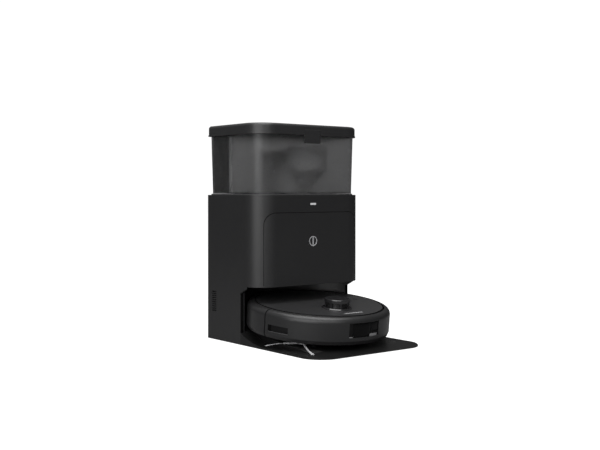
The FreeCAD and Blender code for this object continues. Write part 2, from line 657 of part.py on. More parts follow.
def lid_parts():
    """The lid with its lip, latch recess, hinge lugs and seal, and the sprung latch."""
    top = tower_prism("lid_inset", "lid_bottom", "lid_top")
    soften(top, "7", level_edges("lid_top"))
    lip = tower_prism("lid_inset - 1.2", "lid_bottom", "lid_bottom + 3.4")
    inside = tower_prism("lid_inset + lid_wall", "lid_bottom - 1", "lid_top - lid_roof - 3.9")
    recess = block("-latch_half_width - 0.5", "latch_half_width + 0.5", "tower_front - 2",
                   "tower_front + 7", "lid_bottom - 1", "latch_top + 0.4")
    slots = [block(f"{x} - 3.5", f"{x} + 3.5", "hinge_back - 6", "tower_back + 2", "lid_bottom - 1",
                   "hinge_level + 4.6") for x in ("-30", "30")]
    lugs = [fuse(rod("hinge_pin_radius + 1.2", "5", f"{x} - 2.5", "hinge_back", "hinge_level", "X"),
                 block(f"{x} - 2.5", f"{x} + 2.5", "hinge_back - 1", "tower_back - 0.2", "hinge_level",
                       "hinge_level + 6")) for x in ("-38", "38")]
    wall = cut(fuse(top, lip), inside, recess)
    backing = block("-latch_half_width - 3.5", "latch_half_width + 3.5", "tower_front + 7",
                    "tower_front + 7.9", "lid_bottom", "latch_top + 2")
    sides = [block(f"{x} - 1.5", f"{x} + 1.5", "tower_front + 4", "tower_front + 7.9", "lid_bottom",
                   "latch_top + 2") for x in ("-latch_half_width - 2", "latch_half_width + 2")]
    pivot = rod("1.5 + pin_play", "latch_half_width * 2 + 12", "-latch_half_width - 6",
                "latch_axis", "latch_level", "X")
    node("bin_lid", cut(fuse(wall, *lugs, backing, *sides), *slots, hinge_bores("0"), pivot))
    seal = cut(tower_prism("bin_inset - 3.4", "bin_rim + 0.6", "lid_top - lid_roof - 3.9"),
               tower_prism("bin_inset + 4", "bin_rim", "lid_top - lid_roof"))
    node("lid_seal", seal)
    plate = block("-latch_half_width", "latch_half_width", "tower_front + 2.2", "tower_front + 4.6",
                  "latch_bottom", "latch_top")
    barrel = rod("2.4", "latch_half_width * 2", "-latch_half_width", "latch_axis", "latch_level", "X")
    rib = block("-15", "15", "tower_front + 4.5", "tower_front + 5.5", "latch_bottom + 2.4",
                "latch_bottom + 5.6")
    pin = rod("1.5", "latch_half_width * 2 + 8", "-latch_half_width - 4", "latch_axis", "latch_level", "X")
    node("lid_latch", fuse(plate, barrel, rib, pin))


# ---------------------------------------------------------------- robot's shell
def shell_ring():
    """The robot's outer skin: a rounded shoulder, an upright wall and a tucked-in foot."""
    body = new_body("Ring")
    high = "plate_level - 0.5"
    turn(body, "Revolution", [
        ("robot_radius - 6", "shell_bottom"), ("robot_radius - 3", "shell_bottom"),
        ("robot_radius", "shell_bottom + 8"), ("robot_radius", high),
        ("plate_radius + seam", high), ("plate_radius + seam", f"{high} - shell_wall"),
        ("robot_radius - shell_wall", f"{high} - shell_wall"),
        ("robot_radius - shell_wall", "shell_bottom + 9")])
    soften(body, "shoulder_radius", rounds_at("robot_radius", high))
    soften(body, "shoulder_radius - shell_wall",
           rounds_at("robot_radius - shell_wall", f"{high} - shell_wall"))
    return body


def bumper_parts():
    """The sprung front bumper, its front sensor window and its two side windows."""
    front = block("-200", "200", "-200", "-bumper_end", "0", "100")
    relief = rod("plate_radius + seam + bumper_travel", "20", "0", "0", "plate_level - 10")
    glass = block("-44", "44", "-200", "-140", "30", "63")
    slots = [side_slot("0"), mirrored(side_slot("0"))]
    node_ring = cut(common(shell_ring(), front), relief, glass, *slots)
    robot_node("front_bumper", node_ring)
    band = tube("robot_radius - 1.2", "robot_radius - 2.6", "60", "0", "0", "20")
    robot_node("sensor_window", common(band, block("-43.7", "43.7", "-200", "-140", "30.3", "62.7")))
    windows = [common(tube("robot_radius - 2.2", "robot_radius - 3.4", "60", "0", "0", "10"), piece)
               for piece in (side_slot("0.3"), mirrored(side_slot("0.3")))]
    robot_node("side_windows", group(*windows))


def side_slot(inset):
    """The slanted slot of the wall-following sensor, on the robot's left of the bumper."""
    body = new_body("Slot")
    outline = rectangle(f"30 + {inset}", f"28 + {inset}", f"82 - {inset}", f"44 - {inset}")
    extrude(body, "Pad", "YZ", "-robot_radius - 10", "-120", outline)
    return group(body, place=local_at("0", "-109", "0"))


def mirrored(piece):
    """The same piece on the other side of the robot."""
    twin = DOC.addObject("Part::Mirroring", fresh("Twin"))
    twin.Source = piece
    twin.Normal = FreeCAD.Vector(1, 0, 0)
    return twin


def charge_boxes(inset):
    """The two windows in the robot's back for its charging plates."""
    return [block(f"{side} - 7 + {inset}", f"{side} + 7 - {inset}", "120", "200",
                  f"contact_level - 6 + {inset}", f"contact_level + 6 - {inset}")
            for side in ("-contact_side", "contact_side")]


def body_shell_parts():
    """The fixed rear skin with its charging plates, the chassis pan and the top plate."""
    rear = block("-200", "200", "-bumper_end + bumper_travel + 0.6", "200", "0", "100")
    port = rod("port_radius", "60", "0", "130", "port_level", "Y")
    rib = common(tube("robot_radius - shell_wall + 0.01", "chassis_radius", "4", "0", "0", "58"),
                 block("-200", "200", "4", "200", "0", "100"))
    skin = common(shell_ring(), rear)
    robot_node("body_ring", cut(fuse(skin, rib), port, *charge_boxes("0")))
    plates = [common(tube("robot_radius", "robot_radius - shell_wall", "60", "0", "0", "10"), window)
              for window in charge_boxes("0.1")]
    robot_node("charge_plates", group(*plates))
    pan = new_body("Pan")
    floor = "robot_clearance"
    turn(pan, "Revolution", [
        ("0", floor), ("chassis_radius - 3", floor), ("chassis_radius", f"{floor} + 3"),
        ("chassis_radius", "66"), ("128", "66"), ("128", "63"), ("chassis_radius - 3", "63"),
        ("chassis_radius - 3", f"{floor} + 3"), ("0", f"{floor} + 3")])
    wells = [block(f"{x} - 13", f"{x} + 13", "-wheel_radius - 4", "wheel_radius + 4", "0", "70")
             for x in ("-wheel_side", "wheel_side")]
    wells += [block(f"{x} - 6", f"{x} + 6", "-5", "wheel_pivot + 14", "0", "30")
              for x in ("-wheel_side + 15", "wheel_side - 15")]
    roller = block("-roller_half_length - 10.5", "roller_half_length + 10.5", "-roller_ahead - 21",
                   "-roller_ahead + 21", "0", "30")
    swivel = "-castor_ahead + castor_trail"
    well = rod("21", "30", "0", swivel, "0")
    cup = cut(rod("23.5", "19", "0", swivel, "12"), rod("21", "16", "0", swivel, "11"),
              rod("5 + running_play", "40", "0", swivel, "0"))
    collar = tube("8", "5 + running_play", "10", "0", swivel, "30.5")
    hub = rod("3.02", "40", "-brush_side", "-brush_ahead", "0")
    mouth = rod("port_radius", "40", "0", "140", "port_level", "Y")
    brackets = [cut(block(x, f"{x} + 3", "wheel_pivot - 9", "wheel_pivot + 9", f"{floor} + 2",
                          "wheel_radius + 10"),
                    rod("4 + running_play", "240", "-120", "wheel_pivot", "wheel_radius", "X"))
                for x in ("-wheel_side + 19", "wheel_side - 22")]
    shell = cut(pan, roller, well, hub, mouth, *wells)
    robot_node("robot_chassis", fuse(shell, cup, collar, *brackets))


def top_parts():
    """The top plate with its light inlay, and the power button."""
    plate = new_body("Plate")
    under = "plate_level - plate_thickness"
    turn(plate, "Revolution", [
        ("0", under), ("plate_radius - 3", under), ("plate_radius - 3", "66"), ("plate_radius", "66"),
        ("plate_radius", "plate_level"), ("0", "plate_level")])
    soften(plate, "1.2", rounds_at("plate_radius", "plate_level"))
    hole = rod("turret_base_radius - 5", "20", "0", "-turret_ahead", "plate_level - 10")
    inlay_seat = block("-27.2", "27.2", "-127.2", "-121.8", "plate_level - 0.8", "plate_level + 1")
    button_hole = rod("6.3", "20", "115", "0", "plate_level - 10")
    robot_node("top_plate", cut(plate, hole, inlay_seat, button_hole))
    robot_node("top_inlay", block("-27", "27", "-127", "-122", "plate_level - 0.8", "plate_level + 0.1"))
    button = new_body("Button")
    turn(button, "Revolution", [("0", "70"), ("8", "70"), ("8", "72"), ("5.9", "72"),
                                ("5.9", "plate_level + 0.4"), ("0", "plate_level + 0.4")])
    robot_node("power_button", button, local_at("115", "0", "0"))
    board = fuse(block("-60", "60", "-26", "26", "53", "54.6"),
                 block("-20", "-4", "-10", "6", "54.6", "57"), block("24", "44", "0", "14", "54.6", "60"))
    robot_node("robot_board", board)


def turret_parts():
    """The lidar turret: fixed base and posts, fixed cap, spinning head."""
    place = local_at("0", "-turret_ahead", "0")
    base = new_body("TurretBase")
    rim = "plate_level + 3"
    turn(base, "Revolution", [
        ("4", "58"), ("turret_base_radius - 5.6", "58"), ("turret_base_radius - 5.6", "plate_level"),
        ("turret_base_radius", "plate_level"), ("turret_base_radius", "plate_level + 1"),
        ("turret_base_radius - 2", rim), ("turret_radius - 4", rim), ("turret_radius - 4", "62"),
        ("8", "62"), ("8", "66"), ("4", "66")])
    posts = [spun(block("turret_radius - 3.6", "turret_radius - 0.8", "-2.4", "2.4", f"{rim} - 1",
                        "turret_top - 8"), 22.5 + number * 45) for number in range(8)]
    robot_node("turret_base", fuse(base, *posts), place)
    cap = new_body("Cap")
    turn(cap, "Revolution", [
        ("0", "turret_top - 4"), ("turret_radius - 3", "turret_top - 4"),
        ("turret_radius - 3", "turret_top - 8"), ("turret_radius", "turret_top - 8"),
        ("turret_radius", "turret_top"), ("0", "turret_top")])
    soften(cap, "2.4", rounds_at("turret_radius", "turret_top"))
    robot_node("turret_cap", cap, place)
    head = new_body("Head")
    turn(head, "Revolution", [
        ("0", "63"), ("4 - running_play", "63"), ("4 - running_play", "66.5"), ("22", "66.5"),
        ("24", "plate_level - 4"), ("24", "turret_top - 9"), ("0", "turret_top - 9")])
    window = block("14", "30", "-9", "9", "plate_level + 5", "turret_top - 11")
    robot_node("lidar_head", cut(head, window), place)


# ------------------------------------------------------------- robot's running gear
def wheel(label, side):
    """One rubber-tyred drive wheel with its lugs, hub and bore."""
    half = "wheel_width / 2"
    body = new_body("Wheel")
    turn(body, "Revolution", [
        ("axle_radius + running_play", f"-{half}"), ("9", f"-{half}"), ("9", f"-{half} + 2"),
        ("wheel_radius - 9", f"-{half} + 2"), ("wheel_radius - 7", f"-{half}"),
        ("wheel_radius - 1.6", f"-{half}"), ("wheel_radius - 1.6", half), ("wheel_radius - 7", half),
        ("wheel_radius - 9", f"{half} - 2"), ("axle_radius + running_play", f"{half} - 2")])
    lugs = [spun(block("wheel_radius - 2.2", "wheel_radius - 0.05", "-2", "2", f"-{half} + 1",
                       f"{half} - 1"), number * 15) for number in range(24)]
    robot_node(label, fuse(body, *lugs), local_at(side, "0", "wheel_radius", "X"))


def wheel_arm(label, sign):
    """The swinging gearbox arm that carries a drive wheel on its axle."""
    near, far = sorted((f"{sign}(wheel_side - 18)", f"{sign}(wheel_side - 12)"), key=value)
    case = fuse(block(near, far, "-14", "wheel_pivot", "wheel_radius - 11", "wheel_radius + 11"),
                rod("11", "6", near, "wheel_pivot", "wheel_radius", "X"))
    axle = rod("axle_radius", "21", "-wheel_side - 8" if sign == "-" else "wheel_side - 13", "0",
               "wheel_radius", "X")
    pin = rod("4", "11", far + " - 6" if sign == "-" else near + " - 5", "wheel_pivot",
              "wheel_radius", "X")
    robot_node(label, fuse(case, axle, pin))


def castor_parts():
    """The swivelling front castor: fork and wheel."""
    swivel = "-castor_ahead + castor_trail"
    stem = fuse(rod("5", "14", "0", swivel, "24"), rod("14", "3", "0", swivel, "23.5"))
    cheeks = [block(f"{x} - 1.2", f"{x} + 1.2", "-castor_ahead - 5", f"{swivel} + 5", "6", "25")
              for x in ("-8.4", "8.4")]
    axle = rod("1.5", "17", "-8.5", "-castor_ahead", "castor_radius", "X")
    robot_node("castor_fork", fuse(stem, *cheeks, axle))
    body = new_body("CastorWheel")
    half = "castor_width / 2"
    turn(body, "Revolution", [("1.5 + running_play", f"-{half}"), ("castor_radius - 1", f"-{half}"),
                              ("castor_radius - 0.05", f"-{half} + 2"),
                              ("castor_radius - 0.05", f"{half} - 2"),
                              ("castor_radius - 1", half), ("1.5 + running_play", half)])
    robot_node("castor_wheel", body, local_at("0", "-castor_ahead", "castor_radius", "X"))


def roller_parts():
    """The floor roller with its chevron fins, and the frame that holds it in."""
    along = "roller_half_length * 2"
    core = rod("11", along, "-roller_half_length", "-roller_ahead", "roller_level", "X")
    stubs = rod("3", f"{along} + 16", "-roller_half_length - 8", "-roller_ahead", "roller_level", "X")
    axis_point = (0, -value("roller_ahead"), value("roller_level"))
    fins = [spun(block("-roller_half_length", "roller_half_length", "-1.2", "1.2", "10",
                       "roller_radius"), number * 60, (1, 0, 0), axis_point) for number in range(6)]
    robot_node("main_brush", fuse(core, stubs, *fins))
    frame = block("-roller_half_length - 14", "roller_half_length + 14", "-roller_ahead - 27",
                  "-roller_ahead + 27", "robot_clearance - 3", "robot_clearance - 0.1")
    opening = block("-roller_half_length - 3", "roller_half_length + 3", "-roller_ahead - 19",
                    "-roller_ahead + 19", "0", "30")
    bearings = [cut(block(f"{x} - 3", f"{x} + 3", "-roller_ahead - 7", "-roller_ahead + 7",
                          "robot_clearance - 1", "roller_level + 6"),
                    rod("3 + running_play", "20", f"{x} - 10", "-roller_ahead", "roller_level", "X"))
                for x in ("-roller_half_length - 6.2", "roller_half_length + 6.2")]
    robot_node("brush_frame", fuse(cut(frame, opening), *bearings))


def side_brush():
    """Three drooping bristle arms on a hub that clips to its drive shaft."""
    hub = fuse(rod("11", "5", "0", "0", "5"), rod("3 - running_play", "12", "0", "0", "9"))
    arms = []
    for number in range(3):
        arm = new_body("Arm")
        outline = [("9", "4.8"), ("20", "1.8"), ("brush_reach", "1.8"), ("brush_reach", "3.2"),
                   ("22", "3.2"), ("9", "7.4")]
        extrude(arm, "Pad", "XZ", "-2.1", "2.1", outline)
        arms.append(spun(arm, 125 + number * 120))
    robot_node("side_brush", fuse(hub, *arms), local_at("-brush_side", "-brush_ahead", "0"))


# ---------------------------------------------------------------- robot's inside
def inner_parts():
    """Battery, dust box with its filter, fan and cliff sensors."""
    robot_node("battery_pack", fuse(*[rod("9.2", "66", f"-48 + {n} * 19", "66", "roller_level + 6", "Y")
                                      for n in range(6)],
                                    block("-58", "58", "70", "128", "22", "30")))
    box = block("-70", "70", "74", "137", "38", "62.8")
    room = block("-67", "67", "77", "134", "40", "61")
    mouth = rod("port_radius - 5", "30", "0", "110", "port_level + 3", "Y")
    robot_node("robot_dust_box", cut(box, room, mouth))
    robot_node("robot_filter", block("-60", "-30", "78", "132", "44", "56"))
    fan = new_body("RobotFan")
    turn(fan, "Revolution", [("0", "20"), ("24", "20"), ("24", "50"), ("8", "50"), ("8", "48"), ("22", "48"),
                             ("22", "22"), ("2", "22"), ("2", "34"), ("0", "34")])
    robot_node("fan_housing", fan, local_at("0", "32", "0"))
    rotor = new_body("Rotor")
    turn(rotor, "Revolution", [("2 + running_play", "26"), ("20", "26"), ("20", "28"), ("6", "38"),
                               ("2 + running_play", "38")])
    vanes = [spun(block("5", "19", "-0.7", "0.7", "27", "37"), number * 45) for number in range(8)]
    robot_node("robot_fan", fuse(rotor, *vanes), local_at("0", "32", "0"))
    places = (("-55", "-143"), ("55", "-143"), ("-142", "-40"), ("142", "-40"))
    sensors = [block(f"{x} - 8", f"{x} + 8", f"{y} - 4", f"{y} + 4", "robot_clearance - 1.2",
                           "robot_clearance") for x, y in places]
    robot_node("cliff_sensors", group(*sensors))


def contact_pins():
    """The station's two sprung charging contacts."""
    for name, side in (("left", "-contact_side"), ("right", "contact_side")):
        tip = "sqrt(robot_radius ^ 2 - (contact_side - 3) ^ 2) + 0.5"
        pin = fuse(rod("3", "26", side, tip, "contact_level", "Y"),
                   rod("5", "2", side, f"{tip} + 18", "contact_level", "Y"))
        robot_node(f"charge_contact_{name}", pin)


def build():
    """Make every sub-part, check it and write it."""
    station_housing()
    rear_parts()
    base_parts()
    front_cover_parts()
    dust_path()
    dust_bin_parts()
    cyclone_parts()
    bin_duct()
    motor_parts()
    power_parts()
    lid_parts()
    bumper_parts()
    body_shell_parts()
    top_parts()
    turret_parts()
    wheel("left_wheel", "-wheel_side")
    wheel("right_wheel", "wheel_side")
    wheel_arm("left_wheel_arm", "-")
    wheel_arm("right_wheel_arm", "")
    castor_parts()
    roller_parts()
    side_brush()
    inner_parts()
    contact_pins()
    DOC.recompute()
    for item in DOC.Objects:
        if "Invalid" in item.State or "Error" in item.State:
            raise ValueError(f"{item.Label} failed: {item.State}")
    os.makedirs("parts", exist_ok=True)
    for label, piece in NODES.items():
        shape = piece.Shape
        if shape.isNull() or not shape.isValid() or not shape.Solids:
            raise ValueError(f"{label} has no valid solid")
        shape.exportStep(f"parts/{label}.step")
        box = shape.BoundBox
        print(f"{label:24s} {len(shape.Solids):3d} solids {shape.Volume / 1000:9.2f} cm3  "
              f"x {box.XMin:7.1f} {box.XMax:7.1f}  y {box.YMin:7.1f} {box.YMax:7.1f}  "
              f"z {box.ZMin:7.1f} {box.ZMax:7.1f}")


build()
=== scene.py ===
import json
import logging
import math
import random
from dataclasses import dataclass, field
from enum import Enum
from typing import Sequence

import bmesh
import bpy
from mathutils import Matrix, Vector


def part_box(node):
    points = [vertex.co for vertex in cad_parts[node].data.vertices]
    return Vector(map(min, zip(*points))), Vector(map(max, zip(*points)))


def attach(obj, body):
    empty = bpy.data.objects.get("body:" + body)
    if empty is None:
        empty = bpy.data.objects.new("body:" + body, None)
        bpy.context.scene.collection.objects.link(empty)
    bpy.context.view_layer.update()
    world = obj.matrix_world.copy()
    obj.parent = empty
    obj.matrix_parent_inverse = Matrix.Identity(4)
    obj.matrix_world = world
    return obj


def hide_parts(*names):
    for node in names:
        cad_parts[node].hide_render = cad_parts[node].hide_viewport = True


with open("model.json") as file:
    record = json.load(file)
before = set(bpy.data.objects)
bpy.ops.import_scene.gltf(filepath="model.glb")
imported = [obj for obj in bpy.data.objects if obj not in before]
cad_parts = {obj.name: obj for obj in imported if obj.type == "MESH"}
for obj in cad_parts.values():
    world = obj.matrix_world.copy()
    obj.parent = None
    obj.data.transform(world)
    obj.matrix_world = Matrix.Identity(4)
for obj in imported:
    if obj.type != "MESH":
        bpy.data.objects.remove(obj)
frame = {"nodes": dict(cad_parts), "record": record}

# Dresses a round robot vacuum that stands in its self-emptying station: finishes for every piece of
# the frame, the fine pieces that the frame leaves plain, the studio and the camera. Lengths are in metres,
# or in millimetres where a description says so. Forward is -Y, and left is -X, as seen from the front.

logging.basicConfig(level=logging.INFO, format="%(name)s: %(message)s")
LOG = logging.getLogger("docked_vacuum")

MM = 0.001

# How a finish strays from its own colour: slow drift, rubbed edges and dust, with painted shade in the
# hollows of its structure.
DRIFT_TONES = (0.86, 1.14)
RUBBED_TONE = 2.6
# Painted shade: the share of the colour left in the hollows of pleated, ribbed, punched and board finishes.
HOLLOW_SHADE_TONE = 0.35
DUST_TONE = (0.23, 0.22, 0.21, 1.0)

# How dust, rubbing and ridges change its roughness and its relief.
DUST_ROUGHNESS = 0.35
RUBBED_POLISH = 0.08
RIDGE_HEIGHT = 6.0
COAT_ROUGHNESS = 0.06

# Points closer than this are joined, while a shape is made and when a piece is finished.
MERGE_GAP = 1e-7
WELD_GAP = 1e-6

# Degrees that one flat of a curved panel spans, and the floor's two tones.
PANEL_STEP = 1.5
FLOOR_TONES = (0.20, 0.24)

Colour = tuple[float, float, float]
Point = tuple[float, float, float]


# ------------------------------------------------------------------ where the robot stands
@dataclass(frozen=True)
class DockPlace:
    """The docked robot's level frame, tipped nose-down on the station's ramp.

    Attributes:
        tilt: How far the robot is tipped about the cross axis, in degrees.
        ahead: How far its middle stands in front of the middle of the whole.
        lift: Height of its ground plane under its middle.
    """

    tilt: float = 5.7
    ahead: float = 11.5 * MM
    lift: float = 21.143 * MM

    def matrix(self) -> Matrix:
        """The matrix that takes robot points to their docked place."""
        return (Matrix.Translation((0.0, -self.ahead, self.lift))
                @ Matrix.Rotation(math.radians(self.tilt), 4, "X"))


DOCKED = DockPlace().matrix()


# ------------------------------------------------------------------ shader groups
def add_node(tree: bpy.types.NodeTree, kind: str, **values: object) -> bpy.types.Node:
    """Adds a node and sets its properties and unlinked inputs.

    Args:
        tree: The tree that gets the node.
        kind: The node's type name without its ShaderNode prefix.
        values: Property names, or input names with underscores for spaces.

    Returns:
        The new node.
    """
    made = tree.nodes.new("ShaderNode" + kind)
    for name, setting in values.items():
        if hasattr(made, name):
            setattr(made, name, setting)
        else:
            made.inputs[name.replace("_", " ")].default_value = setting
    return made


def new_group(name: str, inputs: Sequence[tuple[str, str, float]],
              outputs: Sequence[tuple[str, str]]) -> tuple:
    """Starts a shader group with named sockets.

    Args:
        name: The group's name.
        inputs: Name, socket kind and default of each input.
        outputs: Name and socket kind of each output.

    Returns:
        The group's tree, its input node and its output node.
    """
    tree = bpy.data.node_groups.new(name, "ShaderNodeTree")
    for title, kind, default in inputs:
        socket = tree.interface.new_socket(title, in_out="INPUT", socket_type="NodeSocket" + kind)
        if kind == "Float":
            socket.default_value = default
    for title, kind in outputs:
        tree.interface.new_socket(title, in_out="OUTPUT", socket_type="NodeSocket" + kind)
    return tree, tree.nodes.new("NodeGroupInput"), tree.nodes.new("NodeGroupOutput")


def maths(tree: bpy.types.NodeTree, operation: str, *terms: object) -> bpy.types.NodeSocket:
    """Adds a Math node.

    Args:
        tree: The tree that gets it.
        operation: Blender's name of the sum.
        terms: Sockets or numbers, in order.

    Returns:
        The result's socket.
    """
    made = tree.nodes.new("ShaderNodeMath")
    made.operation = operation
    for place, term in zip(made.inputs, terms):
        if isinstance(term, (int, float)):
            place.default_value = term
        else:
            tree.links.new(term, place)
    return made.outputs[0]


def ranged(tree: bpy.types.NodeTree, source: bpy.types.NodeSocket, low: float, high: float,
           to_low: float, to_high: float) -> bpy.types.NodeSocket:
    """Maps a value from one range to another and clamps it.

    Args:
        tree: The tree that gets the node.
        source: The value to map.
        low: Start of the range that is read.
        high: End of the range that is read.
        to_low: Result at the start.
        to_high: Result at the end.

    Returns:
        The mapped value's socket.
    """
    made = add_node(tree, "MapRange", From_Min=low, From_Max=high, To_Min=to_low, To_Max=to_high)
    tree.links.new(source, made.inputs["Value"])
    return made.outputs["Result"]


def mould_group() -> bpy.types.NodeTree:
    """The spark-eroded texture of a moulding: fine height, slow drift and flow marks."""
    tree, come, go = new_group(
        "mould_texture", [("Vector", "Vector", 0.0), ("Fineness", "Float", 1500.0), ("Drift", "Float", 9.0)],
        [("Height", "Float"), ("Drift", "Float"), ("Speckle", "Float")])
    fine = add_node(tree, "TexNoise", Detail=3.0, Roughness=0.62)
    pits = add_node(tree, "TexVoronoi", feature="F1")
    slow = add_node(tree, "TexNoise", Detail=4.0, Roughness=0.5)
    for made in (fine, pits, slow):
        tree.links.new(come.outputs["Vector"], made.inputs["Vector"])
    tree.links.new(come.outputs["Fineness"], fine.inputs["Scale"])
    tree.links.new(maths(tree, "MULTIPLY", come.outputs["Fineness"], 0.7), pits.inputs["Scale"])
    tree.links.new(come.outputs["Drift"], slow.inputs["Scale"])
    height = maths(tree, "ADD", maths(tree, "MULTIPLY", fine.outputs["Fac"], 0.6),
                   maths(tree, "MULTIPLY", pits.outputs["Distance"], 0.4))
    tree.links.new(height, go.inputs["Height"])
    tree.links.new(slow.outputs["Fac"], go.inputs["Drift"])
    tree.links.new(ranged(tree, fine.outputs["Fac"], 0.35, 0.7, 0.0, 1.0), go.inputs["Speckle"])
    return tree


def dust_group() -> bpy.types.NodeTree:
    """A thin veil of dust that lies on faces that look up, in loose drifts with a few specks."""
    tree, come, go = new_group("settled_dust", [("Vector", "Vector", 0.0), ("Amount", "Float", 0.2)],
                               [("Mask", "Float")])
    face = add_node(tree, "NewGeometry")
    parts = add_node(tree, "SeparateXYZ")
    tree.links.new(face.outputs["Normal"], parts.inputs[0])
    upward = ranged(tree, parts.outputs["Z"], 0.55, 1.0, 0.0, 1.0)
    drifts = add_node(tree, "TexNoise", Scale=24.0, Detail=5.0, Roughness=0.6)
    specks = add_node(tree, "TexVoronoi", Scale=420.0, feature="F1")
    for made in (drifts, specks):
        tree.links.new(come.outputs["Vector"], made.inputs["Vector"])
    veil = ranged(tree, drifts.outputs["Fac"], 0.4, 0.75, 0.15, 0.7)
    dots = ranged(tree, specks.outputs["Distance"], 0.05, 0.16, 0.8, 0.0)
    both = maths(tree, "MULTIPLY", upward, maths(tree, "MAXIMUM", veil, dots))
    tree.links.new(maths(tree, "MULTIPLY", both, come.outputs["Amount"]), go.inputs["Mask"])
    return tree


def wear_group() -> bpy.types.NodeTree:
    """Handling wear on outer edges, broken up so that no edge is rubbed evenly."""
    tree, come, go = new_group(
        "edge_wear", [("Vector", "Vector", 0.0), ("Reach", "Float", 0.0012), ("Amount", "Float", 0.5)],
        [("Mask", "Float")])
    round_edge = add_node(tree, "Bevel", samples=4)
    face = add_node(tree, "NewGeometry")
    tree.links.new(come.outputs["Reach"], round_edge.inputs["Radius"])
    same = add_node(tree, "VectorMath", operation="DOT_PRODUCT")
    tree.links.new(round_edge.outputs["Normal"], same.inputs[0])
    tree.links.new(face.outputs["Normal"], same.inputs[1])
    edge = ranged(tree, same.outputs["Value"], 0.999, 0.9, 0.0, 1.0)
    patchy = add_node(tree, "TexNoise", Scale=60.0, Detail=6.0, Roughness=0.7)
    tree.links.new(come.outputs["Vector"], patchy.inputs["Vector"])
    broken = ranged(tree, patchy.outputs["Fac"], 0.4, 0.66, 0.0, 1.0)
    mask = maths(tree, "MULTIPLY", maths(tree, "MULTIPLY", edge, broken), come.outputs["Amount"])
    tree.links.new(mask, go.inputs["Mask"])
    return tree


class Surface(Enum):
    """The structure that a finish carries over its grain."""

    PLAIN = "plain"
    BRUSHED = "brushed"
    PLEATED = "pleated"
    PERFORATED = "perforated"
    BOARD = "board"
    RIBBED = "ribbed"


@dataclass
class Effects:
    """The shared shader groups, each built once."""

    mould: bpy.types.NodeTree = field(default_factory=mould_group)
    dust: bpy.types.NodeTree = field(default_factory=dust_group)
    wear: bpy.types.NodeTree = field(default_factory=wear_group)

    def place(self, tree: bpy.types.NodeTree, group: bpy.types.NodeTree, vector: bpy.types.NodeSocket,
              **values: float) -> bpy.types.Node:
        """Puts a group into a material.

        Args:
            tree: The material's tree.
            group: The group to place.
            vector: The coordinates it reads.
            values: Its inputs, with underscores for spaces.

        Returns:
            The group's node.
        """
        made = tree.nodes.new("ShaderNodeGroup")
        made.node_tree = group
        tree.links.new(vector, made.inputs["Vector"])
        for name, setting in values.items():
            made.inputs[name.replace("_", " ")].default_value = setting
        return made


